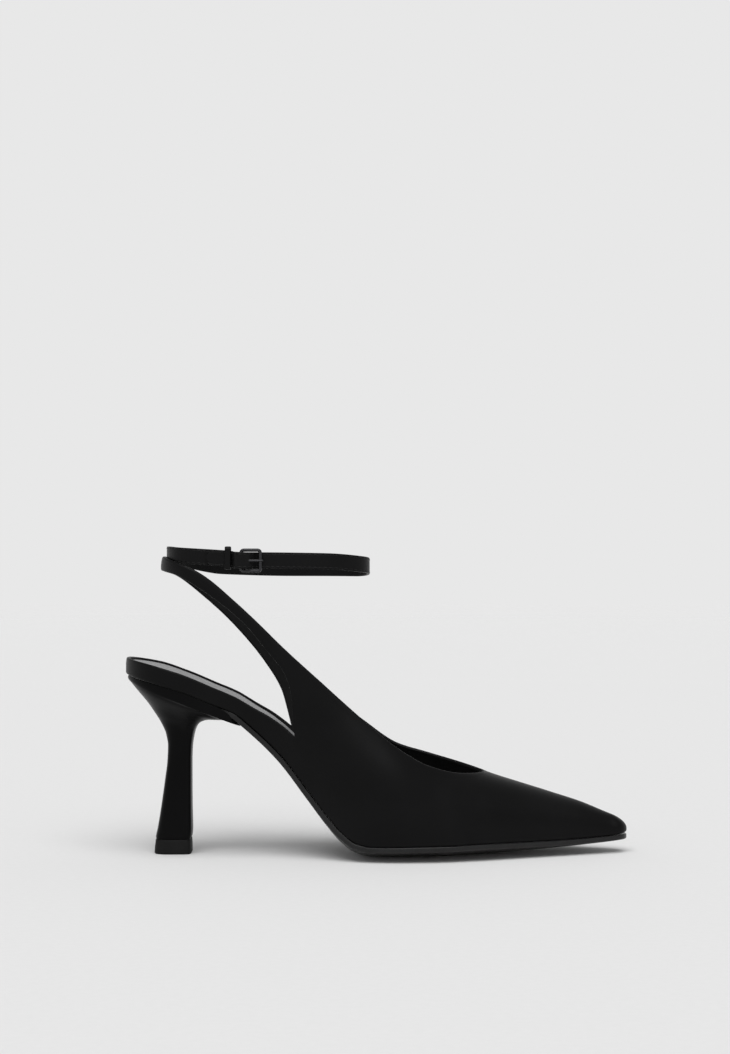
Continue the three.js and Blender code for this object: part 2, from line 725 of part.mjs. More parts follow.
// The space over the heel: its floor is the seat's underside, and the outsole's in front of soleEnd.
function seatCutter() {
  const margin = 6;
  const step = 2;
  const reach = 70;
  const half = 36;
  const cells = 12;
  const corners = (along, heightAt) => {
    const places = spread(-half - (2 * half) / cells, half, cells + 1);
    return places.map((across) => new THREE.Vector3(along, across, heightAt(along, across)));
  };
  const places = [];
  for (let along = -margin; along < soleEnd - step / 2; along += step) places.push({ along, drop: 0 });
  places.push({ along: soleEnd - gap - 0.01, drop: 0 });
  places.push({ along: soleEnd - gap, drop: 1 });
  for (let along = soleEnd + step; along < reach; along += step) places.push({ along, drop: 1 });
  const low = places.map(({ along, drop }) => {
    const lift = drop * (upright(soleThickness, along) + gap);
    return corners(along, (x, y) => soleTop(x, y) - lift);
  });
  const top = places.map(({ along }) => corners(along, () => slingHeight));
  const surface = new Surface();
  surface.grid(low, true);
  surface.grid(top);
  surface.grid(low.map((row, i) => [row[0], top[i][0]]));
  surface.grid(low.map((row, i) => [row.at(-1), top[i].at(-1)]), true);
  surface.grid(low[0].map((point, j) => [point, top[0][j]]), true);
  surface.grid(low.at(-1).map((point, j) => [point, top.at(-1)[j]]));
  return surface.solid();
}

function makeHeel() {
  const foot = (topPieceHeight + gap) / heelHeight;
  const rows = [{ ...heelRows[0], backUp: foot, frontUp: foot }, ...heelRows.slice(1)];
  return stack(rows.map((row) => heelOutline(row))).subtract(seatCutter());
}

function makeTopPiece() {
  const foot = heelRows[0];
  const bevel = 0.6;
  const lean = 0.4;
  const levels = [
    { up: 0, inset: bevel * 0.6, back: lean },
    { up: bevel, inset: 0, back: lean },
    { up: topPieceHeight, inset: topPieceInset, back: 0 },
  ];
  const loops = levels.map(({ up, inset, back }) => {
    const share = up / heelHeight;
    const row = { ...foot, back: foot.back - back / shoeLength, backUp: share, frontUp: share };
    return heelOutline(row, inset);
  });
  return stack(loops);
}

// Ankle strap: one band round the ankle, through the buckle and the keeper, with its tip laid over.

const strapRound = slingRound - wall - gap;
const strapHalf = strapRound - strapThickness;
const strapBack = slingBack + wall + gap + strapThickness;
const strapSide = slingBack + slingRound;
const strapHeight = slingHeight - strapDrop;
const hookRadius = buckleBar / 2 + 1.35 * gap + strapThickness / 2;
const barOut = strapThickness / 2 + hookRadius;
const tipOut = strapThickness * 1.5 + gap;
const overBar = barOut + hookRadius + strapThickness + gap;
const buckleFront = buckleRear + buckleLength;

// How far the band climbs or sinks round its run, as shares of strapWidth.
const strapRows = [
  { at: 0.000, up: 0.000 },
  { at: 0.035, up: 0.050 },
  { at: 0.050, up: 0.120 },
  { at: 0.093, up: 0.220 },
  { at: 0.140, up: 0.300 },
  { at: 0.180, up: 0.355 },
  { at: 0.220, up: 0.330 },
  { at: 0.260, up: 0.100 },
  { at: 0.300, up: -0.250 },
  { at: 0.340, up: -0.450 },
  { at: 0.480, up: -0.570 },
  { at: 0.600, up: -0.570 },
  { at: 0.680, up: -0.280 },
  { at: 0.760, up: -0.050 },
  { at: 0.840, up: 0.000 },
  { at: 0.940, up: 0.030 },
  { at: 0.957, up: 0.120 },
  { at: 1.000, up: 0.200 },
];

const strapSteps = { hook: 7, under: 5, back: 16, side: 6, front: 18, end: 3 };
const hookTurn = Math.PI / 2 + 0.45;
const frontPower = 2 / 2.3;

// The near run over the buckle: back is the way back from its front bar, out the share of the step out.
const overRise = [
  { back: 2.3, out: 0.09 },
  { back: 4.3, out: 0.37 },
  { back: 6.0, out: 0.73 },
  { back: 8.0, out: 1.00 },
  { back: 10.1, out: 1.00 },
];
const overFall = [
  { back: 11.4, out: 0.72 },
  { back: 12.5, out: 0.36 },
  { back: 13.4, out: 0.11 },
  { back: 14.4, out: 0.01 },
];
const overEnd = 15.4;

// The band's middle line in plan: along the shoe, and outwards from the run's inner face.
function strapMiddle() {
  const half = strapThickness / 2;
  const points = [];
  const lateral = (along, out) => points.push(new THREE.Vector2(along, -strapHalf - out));
  for (const turn of spread(hookTurn, -Math.PI / 2, strapSteps.hook)) {
    lateral(buckleRear + hookRadius * Math.cos(turn), barOut + hookRadius * Math.sin(turn));
  }
  for (const along of spread(buckleRear, strapSide, strapSteps.under)) lateral(along, half);
  const reach = strapSide - strapBack + half;
  for (const turn of spread(0, Math.PI, strapSteps.back)) {
    points.push(new THREE.Vector2(strapSide - reach * Math.sin(turn), -(strapHalf + half) * Math.cos(turn)));
  }
  for (const along of spread(strapSide, strapBend, strapSteps.side)) {
    points.push(new THREE.Vector2(along, strapHalf + half));
  }
  const forward = strapFront - half - strapBend;
  for (const turn of spread(0, Math.PI, strapSteps.front)) {
    const across = Math.sign(Math.cos(turn)) * Math.abs(Math.cos(turn)) ** frontPower;
    const ahead = Math.max(Math.sin(turn), 0) ** frontPower;
    points.push(new THREE.Vector2(strapBend + forward * ahead, (strapHalf + half) * across));
  }
  for (const along of spread(strapBend, buckleFront, strapSteps.end)) lateral(along, half);
  for (const { back, out } of overRise) lateral(buckleFront - back, half + (overBar - half) * out);
  for (const { back, out } of overFall) lateral(buckleFront - back, tipOut + (overBar - tipOut) * out);
  for (const along of spread(buckleFront - overEnd, strapTipEnd, strapSteps.end)) lateral(along, tipOut);
  return points;
}

function strapLoops() {
  const middle = strapMiddle();
  const runs = [0];
  for (let i = 1; i < middle.length; i += 1) runs.push(runs[i - 1] + middle[i].distanceTo(middle[i - 1]));
  const upAt = columnCurve(strapRows, 'up');
  const bevel = 0.35;
  return middle.map((place, i) => {
    const before = middle[Math.max(i - 1, 0)];
    const after = middle[Math.min(i + 1, middle.length - 1)];
    const way = after.clone().sub(before).normalize();
    const side = new THREE.Vector2(way.y, -way.x);
    const up = strapHeight + strapWidth * upAt(runs[i] / runs.at(-1));
    const half = { out: strapThickness / 2, up: strapWidth / 2 };
    const section = [
      [half.out, half.up - bevel], [half.out - bevel, half.up],
      [bevel - half.out, half.up], [-half.out, half.up - bevel],
      [-half.out, bevel - half.up], [bevel - half.out, -half.up],
      [half.out - bevel, -half.up], [half.out, bevel - half.up],
    ];
    const at = ([out, lift]) => new THREE.Vector3(place.x - side.x * out, place.y - side.y * out, up + lift);
    return section.map(at);
  });
}

// Buckle: a square frame, and a pin hooked on its rear bar that lies on its front bar.

function roundedRectangle(width, height, radius, path = new THREE.Shape()) {
  const x = width / 2;
  const y = height / 2;
  path.moveTo(x - radius, -y);
  path.absarc(x - radius, radius - y, radius, -Math.PI / 2, 0, false);
  path.absarc(x - radius, y - radius, radius, 0, Math.PI / 2, false);
  path.absarc(radius - x, y - radius, radius, Math.PI / 2, Math.PI, false);
  path.absarc(radius - x, radius - y, radius, Math.PI, Math.PI * 1.5, false);
  path.closePath();
  return path;
}

function ringGeometry(outer, inner, depth, bevel) {
  const shape = roundedRectangle(outer.width - 2 * bevel, outer.height - 2 * bevel, outer.radius);
  shape.holes.push(roundedRectangle(inner.width + 2 * bevel, inner.height + 2 * bevel, inner.radius, new THREE.Path()));
  const bevels = { bevelEnabled: bevel > 0, bevelSize: bevel, bevelThickness: bevel, bevelSegments: 1 };
  const geometry = new THREE.ExtrudeGeometry(shape, { depth: depth - 2 * bevel, curveSegments: 3, ...bevels });
  geometry.translate(0, 0, bevel - depth / 2);
  return geometry;
}

function makeFrame() {
  const opening = { width: buckleLength - buckleBar, height: strapWidth + 2 * gap, radius: 0.5 };
  const outer = { width: buckleLength + buckleBar, height: opening.height + 2 * buckleBar, radius: 1.2 };
  return ringGeometry(outer, opening, buckleBar, 0.4).rotateX(Math.PI / 2);
}

function makeKeeper() {
  const inner = { width: 2 * strapThickness + 4 * gap, height: strapWidth + 5 * gap, radius: 0.5 };
  const outer = { width: inner.width + 2 * keeperThickness, height: inner.height + 2 * keeperThickness, radius: 0.9 };
  const turn = new THREE.Matrix4().makeBasis(
    new THREE.Vector3(0, 1, 0),
    new THREE.Vector3(0, 0, 1),
    new THREE.Vector3(1, 0, 0),
  );
  return ringGeometry(outer, inner, keeperLength, 0).applyMatrix4(turn);
}

function pinGeometry(radius, reach = 0) {
  const ring = hookRadius;
  const rest = barOut + buckleBar / 2 + gap + pinDiameter / 2;
  const route = [
    [buckleRear - ring, barOut - 0.4 - reach],
    [buckleRear - 0.85 * ring, barOut + 0.55 * ring],
    [buckleRear, barOut + ring],
    [buckleRear + 0.5 * buckleLength, barOut + ring],
    [buckleFront, rest],
    [buckleFront + 1.5 + reach, rest - 0.1],
  ].map(([along, out]) => new THREE.Vector3(along - heelCentre, -strapHalf - out, strapHeight));
  const section = new THREE.Shape().absarc(0, 0, radius, 0, Math.PI * 2, false);
  const extrudePath = new THREE.CatmullRomCurve3(route);
  return new THREE.ExtrudeGeometry(section, { steps: 16, curveSegments: 6, bevelEnabled: false, extrudePath });
}

function makeStrap() {
  const slot = solidOf(pinGeometry(pinDiameter / 2 + gap, gap));
  return stack(strapLoops()).subtract(slot);
}

// The shoe

const shoe = new THREE.Group();

function add(name, geometry, colour, roughness, metalness = 0) {
  const material = new THREE.MeshStandardMaterial({ color: colour, roughness, metalness });
  const mesh = new THREE.Mesh(geometry, material);
  mesh.name = name;
  shoe.add(mesh);
  return mesh;
}

add('upper', geometryOf(makeUpper()), 0x19191a, 0.55);
add('insole', geometryOf(makeInsole()), 0x77787a, 0.7);
add('outsole', geometryOf(makeOutsole()), 0x1d1d1e, 0.3);
add('heel', geometryOf(makeHeel()), 0x19191a, 0.45);
add('top_piece', geometryOf(makeTopPiece()), 0x141414, 0.6);
add('ankle_strap', geometryOf(makeStrap()), 0x1a1a1b, 0.55);

const frame = add('buckle_frame', makeFrame(), 0x101011, 0.25, 0.9);
frame.position.set((buckleRear + buckleFront) / 2 - heelCentre, -strapHalf - barOut, strapHeight);
add('buckle_pin', pinGeometry(pinDiameter / 2), 0x101011, 0.25, 0.9);
const keeper = add('strap_keeper', makeKeeper(), 0x1d1d1e, 0.5);
const keeperOut = strapThickness + gap / 2;
const keeperUp = strapHeight + keeperLift * strapWidth + gap;
keeper.position.set(keeperPlace - heelCentre, -strapHalf - keeperOut, keeperUp);

export default shoe;
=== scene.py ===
# Slingback pump, right shoe, with its leathers, lining, edges, stitches and studio.
# Shapes are worked out in millimetres: along runs from the back of the seat to the toe, across to the
# inner side of the foot and up from the floor. They become metres in the row frame when a mesh is made.

import math

import bpy
import numpy as np
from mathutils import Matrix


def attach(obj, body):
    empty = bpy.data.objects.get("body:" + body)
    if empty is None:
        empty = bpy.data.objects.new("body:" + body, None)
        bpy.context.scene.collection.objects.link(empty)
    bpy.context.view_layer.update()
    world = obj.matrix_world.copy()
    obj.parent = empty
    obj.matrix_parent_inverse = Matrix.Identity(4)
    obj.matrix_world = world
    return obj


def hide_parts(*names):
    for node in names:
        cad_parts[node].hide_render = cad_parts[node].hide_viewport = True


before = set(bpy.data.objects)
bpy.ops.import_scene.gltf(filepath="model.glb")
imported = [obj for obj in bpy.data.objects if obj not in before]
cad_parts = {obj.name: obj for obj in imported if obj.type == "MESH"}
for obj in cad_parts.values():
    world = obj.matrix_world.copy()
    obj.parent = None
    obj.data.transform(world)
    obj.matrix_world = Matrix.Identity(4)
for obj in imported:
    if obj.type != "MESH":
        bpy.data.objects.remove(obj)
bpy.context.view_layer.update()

# Sizes shared with the solids

SHOE_LENGTH = 240
BALL_WIDTH = 74
SEAT_WIDTH = 48
HEEL_HEIGHT = 82.7
TOE_SPRING = 6.4
SOLE_ROLL = 5
SOLE_THICKNESS = 2.4
SOLE_LIP = 0.4
TREAD_PRESS = 0.8
TREAD_REACH = 2.4
WALL = 1.6
GAP = 0.3
THROAT_PLACE = 171.7
THROAT_HEIGHT = 39.3
THROAT_WIDTH = 59
SLING_HEIGHT = 142
SLING_BAND = 6.8
SLING_BACK = 17.6
SLING_ROUND = 20.8
RAND_HEIGHT = 8.4
RAND_LIP = 0.9
INSOLE_THICKNESS = 2.2
HEEL_CENTRE = 22.7
TOP_PIECE_HEIGHT = 7
HEEL_WIDTH = 16
SOLE_END = 44
STRAP_THICKNESS = 1.5
STRAP_WIDTH = 7.6
STRAP_DROP = 1.7
STRAP_BEND = 80
STRAP_FRONT = 116.9
STRAP_TIP_END = 39.5
KEEPER_LENGTH = 2.8
KEEPER_THICKNESS = 0.9
KEEPER_PLACE = 50
KEEPER_LIFT = .12
BUCKLE_REAR = 56.2
BUCKLE_LENGTH = 9.1
BUCKLE_BAR = 1.6
PIN_DIAMETER = 1.2

SOLE_ROWS = {
    "at": [0, .108, .175, .214, .242, .304, .367, .398, .429, .458, .492, .54, .62, .7, .78, .86, .92,
           .971, 1],
    "heel": [1, .917, .84, .792, .727, .551, .308, .186, .08, .018, 0, 0, 0, 0, 0, 0, 0, 0, 0],
    "spring": [0, 0, 0, 0, 0, 0, 0, 0, 0, 0, 0, 0, 0, .07, .2, .4, .62, .84, 1],
    "roll": [.16, .16, .16, .16, .18, .24, .4, .54, .76, .92, .96, .98, 1.03, 1, .82, .56, .34, .16, .1],
    "outer": [.324, .324, .318, .303, .293, .292, .332, .37, .415, .452, .484, .5, .482, .411, .308, .205,
              .13, .068, .04],
    "inner": [.324, .324, .314, .292, .27, .243, .25, .277, .323, .378, .432, .48, .5, .466, .391, .294, .216,
              .149, .12],
}
TOPLINE_ROWS = {
    "at": [0, .048, .101, .143, .228, .294, .389, .49, .626, .736, .833, .934, 1],
    "lateral": [1, .974, .945, .909, .803, .713, .576, .441, .261, .127, .045, .007, 0],
    "medial": [1, .969, .92, .873, .754, .655, .506, .375, .213, .103, .063, .026, 0],
    "half": [.353, .353, .353, .355, .378, .402, .435, .468, .497, .5, .5, .5, .5],
    "lean": [2, 2, 2, 3, 4, 5, 7, 12, 26, 42, 58, 76, 87],
}
CUTOUT_ROWS = {
    "at": [0, .1, .23, .44, .64, .8, .915, .96, .985, 1],
    "lateral": [0, .02, .07, .185, .325, .483, .6, .69, .79, 1],
    "medial": [0, .045, .125, .27, .44, .607, .763, .88, .955, 1],
}
CUTOUT_CORNER = {"lateral": 81.6, "medial": 78.6}
RAND_ROWS = {
    "at": [0, .06, .12, .175, .214, .25, .292, .312, .34],
    "lateral": [.95, 1.03, 1.02, 1, .97, 1.16, 1.58, 1.78, 2.05],
    "medial": [.95, .98, .87, .85, .85, 1.03, 1.4, 1.55, 1.79],
}
RIDGE_ROWS = {
    "at": [0, .07, .253, .499, .75, 1],
    "tall": [1, .950, .839, .689, .522, .303],
    "lean": [90, 90, 89, 87, 86, 88],
}
INSTEP_ROWS = {
    "at": [.559, .71, .757, .804, .85, .897, .93, .953, .971, .988, 1],
    "tall": [.62, .37, .295, .223, .158, .1, .0625, .0388, .0224, .0084, 0],
}
HEEL_ROWS = {
    "back": [.0592, .064, .0705, .0775, .0829, .084, .08, .0692, .0571, .0438, .0275, .0121, .0029, .001],
    "back_up": [.0883, .151, .266, .411, .538, .62, .692, .763, .819, .876, .933, .987, 1.025, 1.12],
    "front": [.1317, .1329, .1321, .1317, .1317, .1325, .1354, .1392, .1446, .155, .1729, .2, .236, .237],
    "front_up": [.0883, .151, .266, .411, .538, .61, .675, .717, .745, .769, .781, .78, .748, .9],
    "wide": [1, .95, .86, .79, .77, .81, .95, 1.2, 1.54, 1.93, 2.36, 2.74, 2.94, 2.96],
    "square": [3.4, 3.4, 3.4, 3.3, 3.2, 3, 2.8, 2.6, 2.4, 2.3, 2.2, 2.1, 2, 2],
}
STRAP_ROWS = {
    "at": [0, .035, .05, .093, .14, .18, .22, .26, .3, .34, .48, .6, .68, .76, .84, .94, .957, 1],
    "up": [0, .05, .12, .22, .3, .355, .33, .1, -.25, -.45, -.57, -.57, -.28, -.05, 0, .03, .12, .2],
}
TOE_FOLD = .971
TOE_DROP = .42
TOE_ANGLE = math.radians(21)
PAD_END = (.34, .47)
THROAT_BLEND = (.722, .897)
THROAT_START = .71 * THROAT_PLACE
SIDES = {"lateral": -1, "medial": 1}


def column(rows, name):
    """A smooth curve through a table's column that never swings past its rows."""
    x = np.array(rows["at"], float)
    y = np.array(rows[name], float)
    slope = np.diff(y) / np.diff(x)
    before, after = slope[:-1], slope[1:]
    total = np.where(before + after == 0, 1, before + after)
    between = np.where(before * after > 0, 2 * before * after / total, 0)
    tangent = np.concatenate([slope[:1], between, slope[-1:]])

    def value(place):
        inside = np.clip(place, x[0], x[-1])
        i = np.clip(np.searchsorted(x, inside, side="right") - 1, 0, len(x) - 2)
        span = x[i + 1] - x[i]
        s = (inside - x[i]) / span
        rise = s * s * (3 - 2 * s)
        leave = s * (1 - s) ** 2 * tangent[i] * span
        arrive = s * s * (1 - s) * tangent[i + 1] * span
        return y[i] + (y[i + 1] - y[i]) * rise + leave - arrive

    return value


def columns(rows):
    return {name: column(rows, name) for name in rows if name != "at"}


sole_at = columns(SOLE_ROWS)
topline_at = columns(TOPLINE_ROWS)
cutout_at = columns(CUTOUT_ROWS)
rand_at = columns(RAND_ROWS)
ridge_at = columns(RIDGE_ROWS)
instep_at = column(INSTEP_ROWS, "tall")


def smoothstep(value, low=0, high=1):
    s = np.clip((value - low) / (high - low), 0, 1)
    return s * s * (3 - 2 * s)


def runs_along(points):
    """How far along a path each of its points lies."""
    return np.concatenate([[0], np.cumsum(np.linalg.norm(np.diff(points, axis=0), axis=1))])


def points_at(points, runs, places):
    return np.stack([np.interp(places, runs, values) for values in points.T], axis=-1)


def ways_along(path):
    way = np.gradient(path, axis=0)
    return way / np.linalg.norm(way, axis=1)[:, None]


# Sole surfaces

SEAT_ROUND_END = .108
SEAT_FADE = .3
SEAT_CENTRE = SEAT_ROUND_END * SHOE_LENGTH
TOE_CENTRE = TOE_FOLD * SHOE_LENGTH


def underside(along):
    at = along / SHOE_LENGTH
    return HEEL_HEIGHT * sole_at["heel"](at) + TOE_SPRING * sole_at["spring"](at)


def upright(thickness, along):
    return thickness * np.hypot(1, (underside(along + 1) - underside(along - 1)) / 2)


def edge_height(along):
    roll = SOLE_ROLL * sole_at["roll"](along / SHOE_LENGTH)
    return underside(along) + roll + upright(SOLE_THICKNESS, along)


def edge_width(along, side):
    name = "outer" if side == "lateral" else "inner"
    seat = SEAT_WIDTH / 2 / (SOLE_ROWS["outer"][0] * BALL_WIDTH)
    at = along / SHOE_LENGTH
    fade = np.clip((at - SEAT_ROUND_END) / SEAT_FADE, 0, 1)
    return BALL_WIDTH * sole_at[name](at) * (seat + (1 - seat) * fade)


def sole_top(along, across):
    inside = np.clip(along, .5, SHOE_LENGTH - .5)
    lateral = edge_width(inside, "lateral")
    medial = edge_width(inside, "medial")
    share = np.minimum(np.abs(across - (medial - lateral) / 2) / ((medial + lateral) / 2), 1)
    roll = SOLE_ROLL * sole_at["roll"](inside / SHOE_LENGTH)
    return edge_height(inside) - roll * (1 - share * share)


def tread_height(along, across):
    bare = sole_top(along, across) - upright(SOLE_THICKNESS, along)
    return np.maximum(bare - TREAD_PRESS * np.maximum(1 - bare / TREAD_REACH, 0), 0)


def seat_point(turn, side):
    along = SEAT_CENTRE * (1 - math.sin(turn))
    return along, SIDES[side] * edge_width(SEAT_CENTRE, side) * math.cos(turn)


def toe_point(turn, side):
    lateral = edge_width(TOE_CENTRE, "lateral")
    medial = edge_width(TOE_CENTRE, "medial")
    reach = math.cos(TOE_ANGLE) / math.cos(max(TOE_ANGLE - turn, 0))
    forward = (SHOE_LENGTH - TOE_CENTRE) / math.cos(TOE_ANGLE)
    across = (medial - lateral) / 2 + SIDES[side] * (medial + lateral) / 2 * reach * math.cos(turn)
    return TOE_CENTRE + forward * reach * math.sin(turn), across


# Edges of the upper

def topline_share(along):
    return (along - SLING_BACK) / (THROAT_PLACE - SLING_BACK)


def topline_height(along, side):
    return THROAT_HEIGHT + (SLING_HEIGHT - THROAT_HEIGHT) * topline_at[side](topline_share(along))


def topline_width(along):
    s = max((along - THROAT_START) / (THROAT_PLACE - THROAT_START), 0)
    return THROAT_WIDTH * topline_at["half"](topline_share(along)) * math.sqrt(max(1 - s * s, 0))


def rand_top(along, side):
    return edge_height(along) + RAND_HEIGHT * rand_at[side](along / SHOE_LENGTH)


def cutout_height(along, side):
    corner = CUTOUT_CORNER[side]
    top = SLING_HEIGHT - SLING_BAND
    way = (along - SLING_BACK) / (corner - SLING_BACK)
    return top - (top - rand_top(corner, side)) * cutout_at[side](way)


# Sections of the upper, each a curve from the sole's edge to the top edge or the ridge

PULL = .4
FOOT_GAP = .06
FLARE = {"seat": 2, "waist": 14, "toe": 6, "tip": 28}
WAIST_PLACE = .36
WAIST_REACH = .1
SEAT_FLARE_END = .25 * SHOE_LENGTH


def bezier(points, t):
    t = np.asarray(t, float)[:, None]
    a, b, c, d = points
    return a * (1 - t) ** 3 + 3 * b * t * (1 - t) ** 2 + 3 * c * t * t * (1 - t) + d * t ** 3


def section_curve(foot, flare, top, top_way):
    foot, top = np.array(foot, float), np.array(top, float)
    reach = np.linalg.norm(top - foot) * PULL
    points = (foot, foot + flare * reach, top + top_way * reach, top)
    return lambda t: bezier(points, t)


def leaning(outward, angle, up=1):
    across = math.sin(math.radians(angle))
    return np.array([outward[0] * across, outward[1] * across, up * math.cos(math.radians(angle))])


def flare_at(along):
    waist = math.exp(-(((along / SHOE_LENGTH - WAIST_PLACE) / WAIST_REACH) ** 2))
    free = FLARE["toe"] + (FLARE["waist"] - FLARE["toe"]) * waist
    return FLARE["seat"] + (free - FLARE["seat"]) * min(along / SEAT_FLARE_END, 1)


def seat_section(turn, side):
    along, across = seat_point(turn, side)
    top_along = SLING_BACK + SLING_ROUND * (1 - math.sin(turn))
    top = (top_along, SIDES[side] * SLING_ROUND * math.cos(turn), topline_height(top_along, side))
    outward = (-math.sin(turn), SIDES[side] * math.cos(turn))
    foot = (along, across, edge_height(along) + FOOT_GAP)
    lean = topline_at["lean"](0)
    return section_curve(foot, leaning(outward, FLARE["seat"]), top, leaning(outward, lean, -1))


def side_section(foot_along, top_along, side):
    outward = (0, SIDES[side])
    foot = (foot_along, SIDES[side] * edge_width(foot_along, side), edge_height(foot_along) + FOOT_GAP)
    top = (top_along, SIDES[side] * topline_width(top_along), topline_height(top_along, side))
    lean = topline_at["lean"](topline_share(top_along))
    return section_curve(foot, leaning(outward, flare_at(foot_along)), top, leaning(outward, lean, -1))


def ridge_share(along):
    return np.clip((along - THROAT_PLACE) / (TOE_CENTRE - THROAT_PLACE), 0, 1)


def ridge_height(along):
    if along < THROAT_PLACE:
        return THROAT_HEIGHT + (SLING_HEIGHT - THROAT_HEIGHT) * instep_at(along / THROAT_PLACE)
    tall = THROAT_HEIGHT - edge_height(THROAT_PLACE)
    return edge_height(along) + tall * ridge_at["tall"](ridge_share(along))


def ridge_middle(along):
    s = ridge_share(along)
    return (edge_width(along, "medial") - edge_width(along, "lateral")) / 2 * s * (2 - s)


def vamp_section(along, side):
    outward = (0, SIDES[side])
    foot = (along, SIDES[side] * edge_width(along, side), edge_height(along) + FOOT_GAP)
    top = (along, ridge_middle(along), ridge_height(along))
    lean = ridge_at["lean"](ridge_share(along))
    return section_curve(foot, leaning(outward, flare_at(along)), top, leaning(outward, lean, -1))


FINE = np.linspace(0, 1, 401)


def crossing(points, height_at):
    """The share of a finely sampled section at which it passes a height along the shoe."""
    above = points[:, 2] - height_at(points[:, 0])
    passed = np.nonzero(above >= 0)[0]
    if len(passed) == 0:
        return 1.0
    i = passed[0]
    if i == 0:
        return 0.0
    return float(np.interp(0, above[i - 1:i + 1], FINE[i - 1:i + 1]))


def open_section(along, side):
    quarter = side_section(along, along, side)
    vamp = vamp_section(along, side)
    end = crossing(vamp(FINE), lambda x: topline_height(x, side))
    mix = smoothstep(along / THROAT_PLACE, *THROAT_BLEND)
    return lambda t: quarter(t) * (1 - mix) + vamp(np.asarray(t) * end) * mix


def toe_section(turn, side):
    along, across = toe_point(turn, side)
    outward = (math.sin(turn), SIDES[side] * math.cos(turn))
    top_way = np.array([outward[0], outward[1], -TOE_DROP * math.sin(turn)])
    top = (TOE_CENTRE, ridge_middle(TOE_CENTRE), ridge_height(TOE_CENTRE))
    foot = (along, across, edge_height(along) + FOOT_GAP)
    flare = FLARE["toe"] + (FLARE["tip"] - FLARE["toe"]) * math.sin(turn)
    return section_curve(foot, leaning(outward, flare), top, top_way / np.linalg.norm(top_way))


STATIONS = {"seat": 30, "side": 56, "quarter": 22, "throat": 40, "vamp": 34, "toe": 18}


def side_sections(side):
    """Every section on one side: its curve, and how far it lies behind the cut-out's corner."""
    corner = CUTOUT_CORNER[side]
    for turn in np.linspace(math.pi / 2, 0, STATIONS["seat"]):
        yield seat_section(turn, side), corner - SEAT_CENTRE
    for s in np.linspace(0, 1, STATIONS["side"])[1:]:
        eased = s * (1.5 - .5 * s)
        top_along = SLING_BACK + SLING_ROUND
        top_along += (corner - top_along) * eased
        foot_along = SEAT_CENTRE + (corner - SEAT_CENTRE) * eased
        yield side_section(foot_along, top_along, side), corner - foot_along
    for along in np.linspace(corner, THROAT_START, STATIONS["quarter"])[1:]:
        yield open_section(along, side), -1
    for turn in np.linspace(0, math.pi / 2, STATIONS["throat"])[1:-1]:
        along = THROAT_START + (THROAT_PLACE - THROAT_START) * math.sin(turn)
        yield open_section(along, side), -1
    for along in np.linspace(THROAT_PLACE, TOE_CENTRE, STATIONS["vamp"]):
        yield vamp_section(along, side), -1
    for turn in np.linspace(0, math.pi / 2, STATIONS["toe"])[1:]:
        yield toe_section(turn, side), -1


# Meshes

def metres(points):
    moved = np.array(points, float)
    moved[..., 0] -= HEEL_CENTRE
    return moved / 1000


def make_object(name, points, faces, materials, slots=None, sharp=40):
    mesh = bpy.data.meshes.new(name)
    mesh.from_pydata(metres(points).tolist(), [], [list(map(int, face)) for face in faces])
    for material in materials:
        mesh.materials.append(material)
    if slots is not None:
        mesh.polygons.foreach_set("material_index", np.asarray(slots, np.int32))
    mesh.shade_smooth()
    mesh.set_sharp_from_angle(angle=math.radians(sharp))
    mesh.update()
    piece = bpy.data.objects.new(name, mesh)
    bpy.context.collection.objects.link(piece)
    return piece


def dress(piece, slot, *nodes):
    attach(piece, "root")
    if nodes:
        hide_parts(*nodes)
    return piece


def weld(points, faces, *values):
    """Corners closer than 0.0005 mm become one, and faces that lose their area go."""
    keys = np.round(np.asarray(points) * 2000).astype(np.int64)
    _, first, inverse = np.unique(keys, axis=0, return_index=True, return_inverse=True)
    inverse = inverse.ravel()
    kept = []
    for face in faces:
        ids = inverse[list(face)]
        loop = [int(ids[k]) for k in range(len(ids)) if ids[k] != ids[k - 1]]
        if len(set(loop)) == len(loop) >= 3:
            kept.append(loop)
    return np.asarray(points)[first], kept, [np.asarray(value)[first] for value in values]


def grid_faces(rows, cols, start=0, flip=False, closed=False):
    faces = []
    for i in range(rows - 1):
        for j in range(cols if closed else cols - 1):
            k = (j + 1) % cols
            here, there = start + i * cols, start + (i + 1) * cols
            face = [here + j, there + j, there + k, here + k]
            faces.append(face[::-1] if flip else face)
    return faces


def vertex_normals(points, faces):
    normals = np.zeros_like(points)
    for face in faces:
        a, b, c, d = points[face[0]], points[face[1]], points[face[2]], points[face[-1]]
        facing = np.cross(c - a, d - b) if len(face) == 4 else np.cross(b - a, c - a)
        for corner in face:
            normals[corner] += facing
    return normals / np.maximum(np.linalg.norm(normals, axis=1), 1e-12)[:, None]


def open_edges(faces):
    seen = {}
    for face in faces:
        for a, b in zip(face, face[1:] + face[:1]):
            if (b, a) in seen:
                del seen[(b, a)]
            else:
                seen[(a, b)] = True
    return list(seen)


# Upper: one shell with folded edges, a lining and a crowned sling

EDGE_ROUND = .55
EDGE_STEPS = [0, .07, .18, .34, .55]
INNER_ROWS = 18
RAND_ROWS_BETWEEN = 13
FEET_STEPS = [0, .25, .6, 1.1]
FOLD = .1
FOLD_START = (.3, .8)
FOLD_END = (2.6, 4.4)
FOLDED_IN = 1.1
CROWN = .45
CROWN_WIDTHS = (10, 22)
FOOT_TUCK = .5
FOOT_TUCK_REACH = .9
FREE_FADE = 2
FAR = 99


def round_in(distance):
    inside = np.clip(EDGE_ROUND - distance, 0, EDGE_ROUND)
    return EDGE_ROUND - np.sqrt(EDGE_ROUND ** 2 - inside ** 2)


